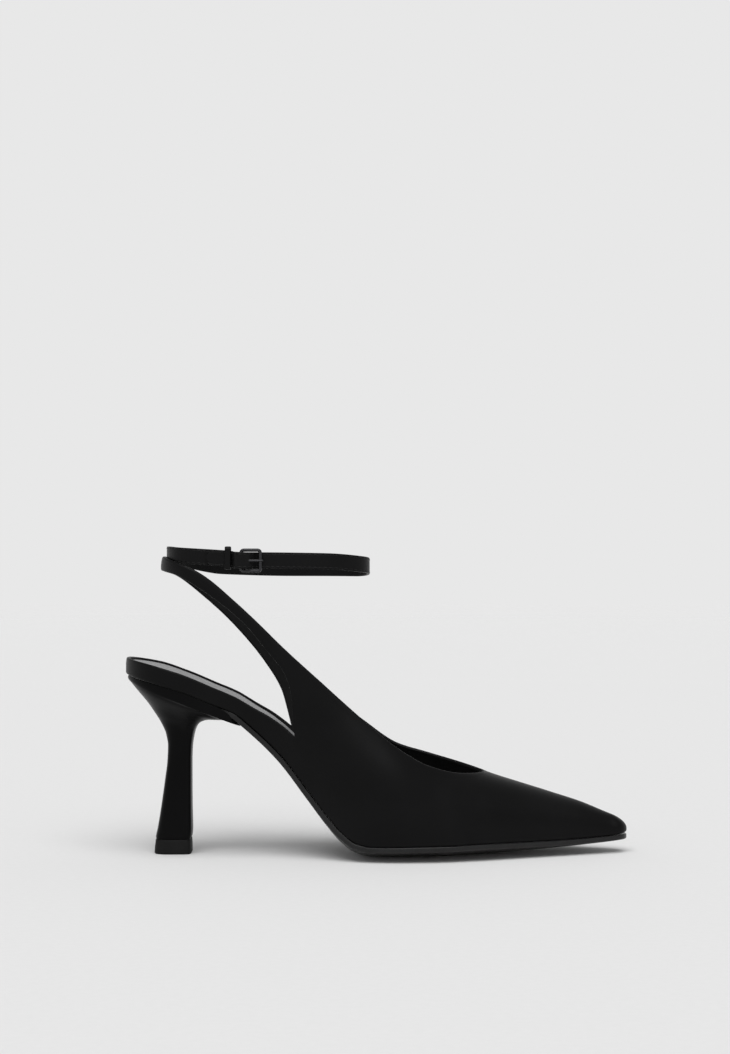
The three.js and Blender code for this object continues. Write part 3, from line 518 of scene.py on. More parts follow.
def band_rows(length):
    """Distances from a band's lower edge, close together at both edges."""
    first = EDGE_STEPS[-1]
    spread = (np.arange(1, INNER_ROWS + 1) / INNER_ROWS) ** 1.5
    half = np.concatenate([EDGE_STEPS, first + (length / 2 - first) * spread])
    return np.concatenate([half, length - half[-2::-1]])


def rand_rows(length):
    middle = np.linspace(FEET_STEPS[-1], length - EDGE_STEPS[-1], RAND_ROWS_BETWEEN + 1)[1:]
    return np.concatenate([FEET_STEPS, middle, length - np.array(EDGE_STEPS[-2::-1])])


def band_offsets(rows, length, first_free, last_free):
    """How far rows of points move out, how far back the inner side lies, and their free edge's distance."""
    rest = length - rows
    inward = np.maximum(round_in(rows) * first_free, round_in(rest) * last_free)
    edge = np.minimum(np.where(first_free > 0, rows, FAR), np.where(last_free > 0, rest, FAR))
    fold = FOLD * smoothstep(edge, *FOLD_START) * (1 - smoothstep(edge, *FOLD_END))
    return fold - inward, WALL - inward, edge


def rand_part(points, runs, end, fade):
    rows = rand_rows(end)
    outer, inner, edge = band_offsets(rows, end, 0, fade)
    outer = outer - FOOT_TUCK * (1 - np.clip(rows / FOOT_TUCK_REACH, 0, 1)) ** 2
    return points_at(points, runs, rows), outer, inner, edge


def band_part(points, runs, start, fade, crowned, collar):
    length = runs[-1] - start
    rows = band_rows(length)
    outer, inner, edge = band_offsets(rows, length, fade, collar)
    if crowned:
        narrow = np.clip((CROWN_WIDTHS[1] - length) / (CROWN_WIDTHS[1] - CROWN_WIDTHS[0]), 0, 1)
        outer = outer + CROWN * narrow * (1 - (2 * rows / length - 1) ** 2)
    return points_at(points, runs, start + rows), outer, inner, edge


def upper_side(side):
    """Points of one side's rand and of its band, each with its offsets and its free edge's distance."""
    sections = list(side_sections(side))
    corner = STATIONS["seat"] + STATIONS["side"] - 2
    collar_end = corner + STATIONS["quarter"] + STATIONS["throat"] - 2
    join_height = rand_top(CUTOUT_CORNER[side], side)
    join = crossing(sections[corner][0](FINE), lambda x: np.full_like(x, join_height))
    low, high = [], []
    for number, (section, behind) in enumerate(sections):
        points = section(FINE)
        runs = runs_along(points)
        free = number < corner
        low_end = crossing(points, lambda x: rand_top(x, side)) if free else join
        high_start = crossing(points, lambda x: cutout_height(x, side)) if free else join
        low_run, high_run = np.interp([low_end, high_start], FINE, runs)
        fade = float(np.clip(behind / FREE_FADE, 0, 1)) if free else 0.0
        low.append(rand_part(points, runs, low_run, fade))
        high.append(band_part(points, runs, high_run, fade, free, float(number <= collar_end)))
    return low, high


def make_upper(leather, lining):
    blocks = {side: upper_side(side) for side in SIDES}
    for part in (0, 1):
        blocks["medial"][part][0] = blocks["lateral"][part][0]
        blocks["medial"][part][-1] = blocks["lateral"][part][-1]
    points, outer, inner, edge, faces = [], [], [], [], []
    for side in SIDES:
        for block in blocks[side]:
            start = len(points)
            for at, out, back, distance in block:
                points.extend(at)
                outer.extend(out)
                inner.extend(back)
                edge.extend(distance)
            faces += grid_faces(len(block), len(block[0][0]), start, side == "medial")
    points, faces, (outer, inner, edge) = weld(points, faces, outer, inner, edge)
    normals = vertex_normals(points, faces)
    count = len(points)
    front = points + normals * outer[:, None]
    back = points - normals * inner[:, None]
    lowest = points[:, 2] <= edge_height(np.clip(points[:, 0], 0, SHOE_LENGTH)) + FOOT_GAP + .02
    back[lowest, 2] = front[lowest, 2]
    rims = [[b, a, a + count, b + count] for a, b in open_edges(faces)]
    shell = faces + [[v + count for v in face[::-1]] for face in faces] + rims
    lined = [int(edge[face].mean() >= FOLDED_IN) for face in faces]
    slots = [0] * len(faces) + lined + [0] * len(rims)
    return make_object("upper_shell", np.vstack([front, back]), shell, [leather, lining], slots, 50)


# Slabs that follow the sole

RIM_INSET = 1.8
RIM_FADE = (45, 57)


def sock_margin(along):
    return np.full_like(along, -WALL - 2 * GAP)


def sole_margin(along):
    """The outsole's edge lies in beside the heel's rim and comes out in front of it."""
    return SOLE_LIP - RIM_INSET * (1 - smoothstep(along, *RIM_FADE))


def outline(margin_at, start=0):
    pair = {}
    for side, sign in SIDES.items():
        points = []
        if start == 0:
            points += [seat_point(turn, side) for turn in np.linspace(math.pi / 2, 0, 28)]
        else:
            points.append((start, sign * edge_width(start, side)))
        for along in np.linspace(SEAT_CENTRE if start == 0 else start, TOE_CENTRE, 130)[1:]:
            points.append((along, sign * edge_width(along, side)))
        points += [toe_point(turn, side) for turn in np.linspace(0, math.pi / 2, 18)[1:]]
        points = np.array(points)
        way = np.gradient(points, axis=0)
        way[0] = (0, sign) if start == 0 else (1, 0)
        way[-1] = (0, -sign)
        way /= np.linalg.norm(way, axis=1)[:, None]
        outward = np.stack([-way[:, 1], way[:, 0]], axis=1) * sign
        pair[side] = points + outward * margin_at(points[:, 0])[:, None]
    return pair


def distance_to(loop, points):
    a = loop[None]
    ab = (np.roll(loop, -1, axis=0) - loop)[None]
    result = []
    for chunk in np.array_split(points, max(len(points) // 500, 1)):
        ap = chunk[:, None] - a
        share = np.clip((ap * ab).sum(2) / np.maximum((ab * ab).sum(2), 1e-9), 0, 1)
        result.append(np.linalg.norm(ap - ab * share[..., None], axis=2).min(1))
    return np.concatenate(result)


ACROSS = np.array([0, .08, .2, .4, .7, 1.1, 1.7])
ACROSS_WIDTH = 8
ACROSS_BETWEEN = 24


def slab(name, margin_at, start, top_at, bottom_at, cover):
    pair = outline(margin_at, start)
    rows = []
    for lateral, medial in zip(pair["lateral"], pair["medial"]):
        width = np.linalg.norm(medial - lateral)
        near = ACROSS * min(1, width / ACROSS_WIDTH)
        middle = np.linspace(near[-1], width - near[-1], ACROSS_BETWEEN + 2)[1:-1]
        share = np.concatenate([near, middle, (width - near)[::-1]]) / max(width, 1e-6)
        rows.append(lateral + (medial - lateral) * share[:, None])
    flat = np.concatenate(rows)
    cols = len(rows[0])
    loop = np.concatenate([pair["lateral"], pair["medial"][::-1]])
    far = distance_to(loop, flat)
    top = np.column_stack([flat, top_at(flat[:, 0], flat[:, 1], far)])
    bottom = np.column_stack([flat, bottom_at(flat[:, 0], flat[:, 1], far)])
    count = len(flat)
    faces = grid_faces(len(rows), cols) + grid_faces(len(rows), cols, count, True)
    for i in range(len(rows) - 1):
        a, b = i * cols, (i + 1) * cols
        faces.append([a + count, b + count, b, a])
        a, b = a + cols - 1, b + cols - 1
        faces.append([a, b, b + count, a + count])
    for j in range(cols - 1):
        faces.append([j, j + 1, j + 1 + count, j + count])
    points, faces, _ = weld(np.vstack([top, bottom]), faces)
    return make_object(name, points, faces, [cover], None, 50)


SOCK_ROUND = .9
SOCK_DOME = .45
SOCK_DOME_REACH = 9
LACQUER_ROUND = (.35, .8)


def rounding(distance, radius):
    inside = np.clip(radius - distance, 0, radius)
    return radius - np.sqrt(radius ** 2 - inside ** 2)


def sock_top(along, across, far):
    padded = rand_top(along, "medial") - RAND_LIP
    bare = sole_top(along, across) + GAP + INSOLE_THICKNESS
    height = padded + (bare - padded) * smoothstep(along / SHOE_LENGTH, *PAD_END)
    return height - rounding(far, SOCK_ROUND) + SOCK_DOME * smoothstep(far, 0, SOCK_DOME_REACH)


def sock_bottom(along, across, far):
    return sole_top(along, across) + GAP


def lacquer_top(along, across, far):
    return sole_top(along, across) - rounding(far, LACQUER_ROUND[0])


def lacquer_bottom(along, across, far):
    return tread_height(along, across) + rounding(far, LACQUER_ROUND[1])


# Heel and its top piece

def superellipse(turn, power):
    return np.sign(turn) * np.abs(turn) ** (2 / power)


HEEL_MIDDLE = .48
HEEL_FRONT_POWER = 6


def heel_curves():
    number = np.arange(len(HEEL_ROWS["back"]))
    fine = np.linspace(0, number[-1], 331)
    return {name: column({"at": number, name: HEEL_ROWS[name]}, name)(fine) for name in HEEL_ROWS}


def heel_column(rows, cosine, sine):
    """One column of the heel from its foot up: sine is towards the toe and cosine to the side."""
    front = sine > 0
    power = np.full_like(rows["square"], HEEL_FRONT_POWER) if front else rows["square"]
    share = (1 - HEEL_MIDDLE) if front else HEEL_MIDDLE
    swing = HEEL_MIDDLE + share * superellipse(sine, power)
    along = SHOE_LENGTH * (rows["back"] + (rows["front"] - rows["back"]) * swing)
    up = HEEL_HEIGHT * (rows["back_up"] + (rows["front_up"] - rows["back_up"]) * swing)
    across = rows["wide"] * HEEL_WIDTH / 2 * superellipse(cosine, power)
    return np.column_stack([along, across, up])


def seat_floor(along, across):
    top = sole_top(along, across)
    under = top - upright(SOLE_THICKNESS, along) - GAP
    lateral, medial = edge_width(along, "lateral"), edge_width(along, "medial")
    reach = (lateral + medial) / 2 + sole_margin(along)
    beside = np.abs(across - (medial - lateral) / 2) > reach
    rim = top + (under - top) * np.where(beside, smoothstep(along, *RIM_FADE), 1)
    return np.where(along > SOLE_END - GAP, rim, top)


RIM_OUT = .25
HEEL_COLUMNS = 176
HEEL_LEVELS = 96
HEEL_TUCK = {"foot": (.35, .12, .03), "seat": (.04, .16, .4)}
CAP_SHARES = (.92, .66, .33)


def round_angles(count):
    """Angles round a squared outline, closer together at its corners."""
    even = np.linspace(0, 2 * math.pi, count, endpoint=False)
    return even - .12 * np.sin(4 * even)


def move_in(grid, inset):
    """Moves each level of a grid of columns in towards its middle."""
    outward = grid[..., :2] - grid.mean(axis=0, keepdims=True)[..., :2]
    outward /= np.maximum(np.linalg.norm(outward, axis=2), 1e-6)[..., None]
    grid[..., :2] -= outward * np.asarray(inset)[None, :, None]
    return grid


def heel_grid():
    """The heel's side as columns of points from its foot up to the seat."""
    rows = heel_curves()
    levels = np.linspace(0, 1, HEEL_LEVELS)
    grid = []
    for angle in round_angles(HEEL_COLUMNS):
        line = heel_column(rows, math.cos(angle), math.sin(angle))
        above = line[:, 2] - seat_floor(line[:, 0], line[:, 1])
        passed = np.nonzero(above >= 0)[0]
        i = passed[0] if len(passed) else len(line) - 1
        end = i - 1 + (-above[i - 1]) / (above[i] - above[i - 1]) if above[i] > 0 else i
        grid.append(points_at(line, np.arange(len(line)), levels * end))
    grid = np.array(grid)
    lateral = -edge_width(grid[..., 0], "lateral") - RIM_OUT
    medial = edge_width(grid[..., 0], "medial") + RIM_OUT
    grid[..., 1] = np.clip(grid[..., 1], lateral, medial)
    tuck = np.zeros(HEEL_LEVELS)
    tuck[:len(HEEL_TUCK["foot"])] = HEEL_TUCK["foot"]
    tuck[-len(HEEL_TUCK["seat"]):] = HEEL_TUCK["seat"]
    return move_in(grid, tuck)


def heel_cap(grid, level, at_foot, corners, faces):
    """Closes one end of the heel with rings of corners towards its middle."""
    def add(face):
        faces.append(face[::-1] if at_foot else face)

    count, high = grid.shape[:2]
    ring = [c * high + level for c in range(count)]
    centre = grid[:, level].mean(axis=0)
    for share in CAP_SHARES:
        inner = []
        for c in range(count):
            point = centre + (grid[c, level] - centre) * share
            if not at_foot:
                point[2] = seat_floor(point[0], point[1])
            inner.append(len(corners))
            corners.append(point)
        for c in range(count):
            d = (c + 1) % count
            add([ring[c], ring[d], inner[d], inner[c]])
        ring = inner
    if not at_foot:
        centre[2] = seat_floor(centre[0], centre[1])
    corners.append(centre)
    for c in range(count):
        add([ring[c], ring[(c + 1) % count], len(corners) - 1])


def make_heel(cover):
    grid = heel_grid()
    count, high = grid.shape[:2]
    corners = list(grid.reshape(-1, 3))
    faces = []
    for c in range(count):
        here, there = c * high, (c + 1) % count * high
        for r in range(high - 1):
            faces.append([here + r, there + r, there + r + 1, here + r + 1])
    heel_cap(grid, 0, True, corners, faces)
    heel_cap(grid, high - 1, False, corners, faces)
    points, faces, _ = weld(np.array(corners), faces)
    return make_object("heel_block", points, faces, [cover], None, 45)


# Heights up the top piece, each with how far its side lies in there
TOP_PIECE_LEVELS = [
    (0, .62), (.1, .3), (.3, .1), (.6, 0), (2, 0), (4, .05), (6, .15), (6.6, .2), (6.85, .3),
    (TOP_PIECE_HEIGHT, .55),
]
TOP_PIECE_BEVEL = .6
TOP_PIECE_LEAN = .4
TOP_PIECE_COLUMNS = 112


def make_top_piece(cover):
    up, inset = np.array(TOP_PIECE_LEVELS).T
    rows = {name: np.full(len(up), HEEL_ROWS[name][0], float) for name in HEEL_ROWS}
    lean = np.interp(up, [0, TOP_PIECE_BEVEL, TOP_PIECE_HEIGHT], [TOP_PIECE_LEAN, TOP_PIECE_LEAN, 0])
    rows["back"] = rows["back"] - lean / SHOE_LENGTH
    for name in ("back_up", "front_up"):
        rows[name] = up / HEEL_HEIGHT
    angles = round_angles(TOP_PIECE_COLUMNS)
    grid = np.array([heel_column(rows, math.cos(a), math.sin(a)) for a in angles])
    return closed_rings("top_piece_lift", move_in(grid, inset).transpose(1, 0, 2), cover)


def closed_rings(name, rings, cover, sharp=45):
    """A closed skin over rings of points, with each end drawn to its middle."""
    """A solid from rings of corners, with a fan at each end."""
    rings = np.asarray(rings)
    count, around = rings.shape[:2]
    points = list(rings.reshape(-1, 3)) + [rings[0].mean(axis=0), rings[-1].mean(axis=0)]
    faces = grid_faces(count, around, 0, True, True)
    end = (count - 1) * around
    for j in range(around):
        k = (j + 1) % around
        faces += [[count * around, k, j], [count * around + 1, end + j, end + k]]
    return make_object(name, np.array(points), faces, [cover] if cover else [], None, sharp)


# Ankle strap

STRAP_HALF = SLING_ROUND - WALL - GAP - STRAP_THICKNESS
STRAP_START = SLING_BACK + WALL + GAP + STRAP_THICKNESS
STRAP_SIDE = SLING_BACK + SLING_ROUND
STRAP_HEIGHT = SLING_HEIGHT - STRAP_DROP
HOOK_RADIUS = BUCKLE_BAR / 2 + 1.35 * GAP + STRAP_THICKNESS / 2
BAR_OUT = STRAP_THICKNESS / 2 + HOOK_RADIUS
TIP_OUT = STRAP_THICKNESS * 1.5 + GAP
OVER_BAR = BAR_OUT + HOOK_RADIUS + STRAP_THICKNESS + GAP
BUCKLE_FRONT = BUCKLE_REAR + BUCKLE_LENGTH
HOOK_TURN = math.pi / 2 + .45
FRONT_POWER = 2 / 2.3
OVER_RISE = [(2.3, .09), (4.3, .37), (6, .73), (8, 1), (10.1, 1)]
OVER_FALL = [(11.4, .72), (12.5, .36), (13.4, .11), (14.4, .01)]
OVER_END = 15.4


def spread(start, end, count):
    return [start + (end - start) * (i + 1) / count for i in range(count)]


STRAP_STEPS = {"hook": 7, "under": 5, "back": 16, "side": 6, "front": 18, "end": 3}


def strap_middle():
    """The band's middle line in plan, from the fold round the buckle's bar to the tip."""
    half = STRAP_THICKNESS / 2
    points = []

    def lateral(along, out):
        points.append((along, -STRAP_HALF - out))

    for turn in spread(HOOK_TURN, -math.pi / 2, STRAP_STEPS["hook"]):
        lateral(BUCKLE_REAR + HOOK_RADIUS * math.cos(turn), BAR_OUT + HOOK_RADIUS * math.sin(turn))
    for along in spread(BUCKLE_REAR, STRAP_SIDE, STRAP_STEPS["under"]):
        lateral(along, half)
    reach = STRAP_SIDE - STRAP_START + half
    for turn in spread(0, math.pi, STRAP_STEPS["back"]):
        points.append((STRAP_SIDE - reach * math.sin(turn), -(STRAP_HALF + half) * math.cos(turn)))
    for along in spread(STRAP_SIDE, STRAP_BEND, STRAP_STEPS["side"]):
        points.append((along, STRAP_HALF + half))
    forward = STRAP_FRONT - half - STRAP_BEND
    for turn in spread(0, math.pi, STRAP_STEPS["front"]):
        across = math.copysign(abs(math.cos(turn)) ** FRONT_POWER, math.cos(turn))
        ahead = max(math.sin(turn), 0) ** FRONT_POWER
        points.append((STRAP_BEND + forward * ahead, (STRAP_HALF + half) * across))
    for along in spread(STRAP_BEND, BUCKLE_FRONT, STRAP_STEPS["end"]):
        lateral(along, half)
    for back, out in OVER_RISE:
        lateral(BUCKLE_FRONT - back, half + (OVER_BAR - half) * out)
    for back, out in OVER_FALL:
        lateral(BUCKLE_FRONT - back, TIP_OUT + (OVER_BAR - TIP_OUT) * out)
    for along in spread(BUCKLE_FRONT - OVER_END, STRAP_TIP_END, STRAP_STEPS["end"]):
        lateral(along, TIP_OUT)
    return np.array(points)


def smooth_path(points, step):
    """The path through the points on a centripetal spline, at an even step."""
    points = np.asarray(points, float)
    padded = np.vstack([2 * points[0] - points[1], points, 2 * points[-1] - points[-2]])
    knots = np.concatenate([[0], np.cumsum(np.sqrt(np.linalg.norm(np.diff(padded, axis=0), axis=1)))])
    dense = []
    for i in range(1, len(padded) - 2):
        t = np.linspace(knots[i], knots[i + 1], 24, endpoint=False)[:, None]
        t0, t1, t2, t3 = knots[i - 1:i + 3]
        p0, p1, p2, p3 = padded[i - 1:i + 3]
        a1 = (t1 - t) / (t1 - t0) * p0 + (t - t0) / (t1 - t0) * p1
        a2 = (t2 - t) / (t2 - t1) * p1 + (t - t1) / (t2 - t1) * p2
        a3 = (t3 - t) / (t3 - t2) * p2 + (t - t2) / (t3 - t2) * p3
        b1 = (t2 - t) / (t2 - t0) * a1 + (t - t0) / (t2 - t0) * a2
        b2 = (t3 - t) / (t3 - t1) * a2 + (t - t1) / (t3 - t1) * a3
        dense.append((t2 - t) / (t2 - t1) * b1 + (t - t1) / (t2 - t1) * b2)
    dense = np.vstack(dense + [points[-1:]])
    runs = runs_along(dense)
    even = np.linspace(0, runs[-1], max(int(runs[-1] / step), 2) + 1)
    return points_at(dense, runs, even), even


CREASE_IN = .85
CREASE_UP = STRAP_WIDTH / 2 - CREASE_IN
CREASE_DEPTH = .12
CREASE_HALF = .2
FACE_STEPS = np.array([.4, .15, 0, -.15, -.45, -1.35])
FACE_DOME = .05
EDGE_BEND = .32


def arc(x, y, radius, angles):
    return [(x + radius * math.cos(math.radians(a)), y + radius * math.sin(math.radians(a))) for a in angles]


def strap_section():
    """Half sizes as (outwards, upwards) round the band, creased along both edges of its outer face."""
    out, up, bend = STRAP_THICKNESS / 2, STRAP_WIDTH / 2, EDGE_BEND
    loop = []
    half = CREASE_UP + FACE_STEPS
    for height in [*-half, 0, *half[::-1]]:
        crease = CREASE_DEPTH * max(1 - abs(abs(height) - CREASE_UP) / CREASE_HALF, 0)
        loop.append((out - crease - FACE_DOME * (height / up) ** 2, height))
    loop += arc(out - bend, up - bend, bend, (10, 35, 60, 85))
    loop += arc(bend - out, up - bend, bend, (95, 120, 145, 170))
    loop += [(-out, up * share) for share in (.7, 0, -.7)]
    loop += arc(bend - out, bend - up, bend, (190, 215, 240, 265))
    loop += arc(out - bend, bend - up, bend, (275, 300, 325, 350))
    return np.array(loop)


def strap_frames(step=.7):
    path, runs = smooth_path(strap_middle(), step)
    way = ways_along(path)
    outward = np.stack([-way[:, 1], way[:, 0]], axis=1)
    up = STRAP_HEIGHT + STRAP_WIDTH * column(STRAP_ROWS, "up")(runs / runs[-1])
    return path, outward, up, runs


TIP_ROUND = 4.2


def make_strap(cover):
    path, outward, up, runs = strap_frames()
    section = strap_section()
    rings = []
    for place, out, height, run in zip(path, outward, up, runs):
        to_end = np.clip((runs[-1] - run) / TIP_ROUND, 0, 1)
        tall = max(math.sqrt(1 - (1 - to_end) ** 2), .12)
        plan = place + out * section[:, :1]
        rings.append(np.column_stack([plan, height + section[:, 1] * tall]))
    return closed_rings("strap_band", rings, cover, 35)


STITCH_PITCH = 2.5
STITCH_LENGTH = 1.8
STITCH_RADIUS = .17
STITCH_BOW = .1
STITCH_SIDES = 6
STITCH_ENDS = (16, 6)
STITCH_PROFILE = [(-.5, .12), (-.42, .7), (-.2, 1), (0, 1), (.2, 1), (.42, .7), (.5, .12)]


def make_stitches(cover):
    """Two rows of stitches in the band's creases."""
    path, outward, up, runs = strap_frames(.2)
    angles = [2 * math.pi * k / STITCH_SIDES for k in range(STITCH_SIDES)]
    points, faces = [], []
    for row in (-1, 1):
        for middle in np.arange(STITCH_ENDS[0], runs[-1] - STITCH_ENDS[1], STITCH_PITCH):
            start = len(points)
            for share, size in STITCH_PROFILE:
                run = middle + share * STITCH_LENGTH
                place, out = points_at(path, runs, run), points_at(outward, runs, run)
                height = np.interp(run, runs, up) + row * CREASE_UP
                lift = STRAP_THICKNESS / 2 - CREASE_DEPTH + STITCH_BOW * (1 - (2 * share) ** 2)
                for angle in angles:
                    plan = place + out * (lift + STITCH_RADIUS * size * math.cos(angle))
                    points.append((plan[0], plan[1], height + STITCH_RADIUS * size * math.sin(angle)))
            faces += grid_faces(len(STITCH_PROFILE), STITCH_SIDES, start, True, True)
            last = start + (len(STITCH_PROFILE) - 1) * STITCH_SIDES
            faces.append(list(range(start, start + STITCH_SIDES)))
            faces.append(list(range(last, last + STITCH_SIDES))[::-1])
    return make_object("strap_stitches", np.array(points), faces, [cover], None, 60)


def tube(name, route, radii, cover=None, sides=16, step=.25):
    path, runs = smooth_path(route, step)
    way = ways_along(path)
    side = np.cross(way, (0, 0, 1.0))
    side /= np.linalg.norm(side, axis=1)[:, None]
    lift = np.cross(side, way)
    share = runs / runs[-1]
    wide = np.interp(share, radii[0], radii[1])
    tall = np.interp(share, radii[0], radii[2])
    turn = np.linspace(0, 2 * math.pi, sides, endpoint=False)
    rings = [path[i] + np.outer(np.cos(turn) * wide[i], side[i]) + np.outer(np.sin(turn) * tall[i], lift[i])
             for i in range(len(path))]
    return closed_rings(name, rings, cover)


def pin_route(reach=0):
    ring = HOOK_RADIUS
    rest = BAR_OUT + BUCKLE_BAR / 2 + GAP + PIN_DIAMETER / 2
    route = [
        (BUCKLE_REAR - ring, BAR_OUT - .4 - reach), (BUCKLE_REAR - .85 * ring, BAR_OUT + .55 * ring),
        (BUCKLE_REAR, BAR_OUT + ring), (BUCKLE_REAR + .5 * BUCKLE_LENGTH, BAR_OUT + ring),
        (BUCKLE_FRONT, rest), (BUCKLE_FRONT + 1.5 + reach, rest - .1),
    ]
    return np.array([(along, -STRAP_HALF - out, STRAP_HEIGHT) for along, out in route])


def carve(piece, cutters):
    """Cuts closed meshes out of a piece and removes them."""
    for cutter in cutters:
        cut = piece.modifiers.new("cut", "BOOLEAN")
        cut.operation = "DIFFERENCE"
        cut.solver = "EXACT"
        cut.object = cutter
        graph = bpy.context.evaluated_depsgraph_get()
        mesh = bpy.data.meshes.new_from_object(piece.evaluated_get(graph))
        piece.modifiers.clear()
        piece.data = mesh
        bpy.data.objects.remove(cutter)
    piece.data.shade_smooth()
    piece.data.set_sharp_from_angle(angle=math.radians(35))


HOLES = (68.4, 76.4, 84.4)
TIP_HOLE = 44.4
HOLE_RADIUS = .7
HOLE_REACH = (-1.4, .85)


def hole_cutters():
    """Rods for the holes in the near run, and for the one near the tip that lies over it."""
    path, _, up, _ = strap_frames(.2)
    size = [[0, 1], [HOLE_RADIUS] * 2, [HOLE_RADIUS] * 2]
    cutters = []
    for place in (*HOLES, TIP_HOLE):
        outside = -STRAP_HALF - (STRAP_THICKNESS + GAP if place == TIP_HOLE else 0)
        distance = np.where(path[:, 1] < outside, np.abs(path[:, 0] - place), FAR)
        i = int(np.argmin(distance))
        middle = path[i, 1]
        route = [(place, middle + reach, up[i]) for reach in (HOLE_REACH[0], 0, HOLE_REACH[1])]
        cutters.append(tube("cutter", route, size, None, 18, 1))
    return cutters


def rounded_loop(width, height, radius, per_corner=7):
    points = []
    for sx, sy, start in ((1, -1, -90), (1, 1, 0), (-1, 1, 90), (-1, -1, 180)):
        for turn in np.linspace(0, 90, per_corner):
            angle = math.radians(start + turn)
            points.append((sx * (width / 2 - radius) + radius * math.cos(angle),
                           sy * (height / 2 - radius) + radius * math.sin(angle)))
    return np.array(points)


def ring_sweep(name, loop, centre, axes, thick, deep, cover, power, sides=16):
    """A closed bar round a loop: thick is its size in the loop's plane and deep its size across it."""
    u, v, w = (np.array(axis, float) for axis in axes)
    way = np.roll(loop, -1, axis=0) - np.roll(loop, 1, axis=0)
    way /= np.linalg.norm(way, axis=1)[:, None]
    outward = np.stack([way[:, 1], -way[:, 0]], axis=1)
    turn = np.linspace(0, 2 * math.pi, sides, endpoint=False) + math.pi / sides
    out = superellipse(np.cos(turn), power) * thick / 2
    over = superellipse(np.sin(turn), power) * deep / 2
    points = []
    for place, normal in zip(loop, outward):
        for a, b in zip(out, over):
            x, y = place + normal * a
            points.append(np.array(centre) + u * x + v * y + w * b)
    count = len(loop)
    faces = []
    for i in range(count):
        here, there = i * sides, (i + 1) % count * sides
        for j in range(sides):
            k = (j + 1) % sides
            faces.append([here + j, there + j, there + k, here + k])
    return make_object(name, np.array(points), faces, [cover], None, 45)


# Materials

def material(name, base, roughness, specular, metallic=0, coat=0, sheen=0):
    """A new material with its nodes and its shader's sockets."""
    made = bpy.data.materials.new(name)
    made.use_nodes = True
    sockets = made.node_tree.nodes["Principled BSDF"].inputs
    values = {
        "Base Color": (*base, 1), "Roughness": roughness, "Specular IOR Level": specular,
        "Metallic": metallic, "Coat Weight": coat, "Coat Roughness": .12,
        "Sheen Weight": sheen, "Sheen Roughness": .4,
    }
    for key, value in values.items():
        sockets[key].default_value = value
    return made, made.node_tree, sockets


def add_node(tree, kind, **values):
    node = tree.nodes.new(kind)
    for name, value in values.items():
        node.inputs[name.replace("_", " ")].default_value = value
    return node


def texture(tree, kind, output, scale, stretch=(1, 1, 1), **settings):
    place = add_node(tree, "ShaderNodeTexCoord")
    mapping = add_node(tree, "ShaderNodeMapping", Scale=stretch)
    node = add_node(tree, kind, Scale=scale, **settings)
    tree.links.new(place.outputs["Object"], mapping.inputs["Vector"])
    tree.links.new(mapping.outputs["Vector"], node.inputs["Vector"])
    return node.outputs[output]


def noise(tree, scale, detail, stretch=(1, 1, 1)):
    return texture(tree, "ShaderNodeTexNoise", "Fac", scale, stretch, Detail=detail)


def vary(tree, source, low, high, target, start=.3, end=.7):
    """A value spread between two numbers, into another node's socket."""
    node = add_node(tree, "ShaderNodeMapRange", From_Min=start, From_Max=end, To_Min=low, To_Max=high)
    tree.links.new(source, node.inputs["Value"])
    tree.links.new(node.outputs["Result"], target)


def tint(tree, source, dark, light, target):
    ramp = add_node(tree, "ShaderNodeValToRGB")
    for stop, position, colour in zip(ramp.color_ramp.elements, (.35, .65), (dark, light)):
        stop.position = position
        stop.color = (*colour, 1)
    tree.links.new(source, ramp.inputs["Fac"])
    tree.links.new(ramp.outputs["Color"], target)


def bump(tree, source, strength, depth, below=None):
    node = add_node(tree, "ShaderNodeBump", Strength=strength, Distance=depth)
    tree.links.new(source, node.inputs["Height"])
    if below is not None:
        tree.links.new(below, node.inputs["Normal"])
    return node.outputs["Normal"]


def leather(name, dark, light, roughness, specular, grain, depth):
    made, tree, sockets = material(name, light, roughness, specular)
    cells = texture(tree, "ShaderNodeTexVoronoi", "Distance", grain)
    fine = noise(tree, 900, 3)
    tint(tree, noise(tree, 60, 4), dark, light, sockets["Base Color"])
    vary(tree, fine, roughness - .05, roughness + .07, sockets["Roughness"])
    creases = bump(tree, fine, .25, depth)
    tree.links.new(bump(tree, cells, .35, depth, creases), sockets["Normal"])
    return made


def satin(name, dark, light, roughness, specular):
    """Smooth black leather with a fine grain that runs along one way, and a faint sheen."""
    made, tree, sockets = material(name, light, roughness, specular, sheen=.03)
    weave = noise(tree, 1500, 2, (1, 1, 3))
    tint(tree, noise(tree, 35, 3), dark, light, sockets["Base Color"])
    vary(tree, weave, roughness - .06, roughness + .06, sockets["Roughness"])
    tree.links.new(bump(tree, weave, .3, .00005), sockets["Normal"])
    return made


def lacquer(name, dark, light, roughness, specular, coat):
    made, tree, sockets = material(name, light, roughness, specular, coat=coat)
    waves = noise(tree, 120, 2)
    tint(tree, waves, dark, light, sockets["Base Color"])
    vary(tree, noise(tree, 1800, 3, (1, 6, 1)), roughness, roughness + .12, sockets["Roughness"])
    tree.links.new(bump(tree, waves, .12, .0002), sockets["Normal"])
    return made


def black_metal(name):
    made, tree, sockets = material(name, (.02, .02, .021), .2, .6, metallic=.85)
    rubs = noise(tree, 2500, 3, (1, 1, 5))
    tint(tree, rubs, (.025, .025, .027), (.05, .05, .053), sockets["Base Color"])
    vary(tree, rubs, .14, .26, sockets["Roughness"])
    return made


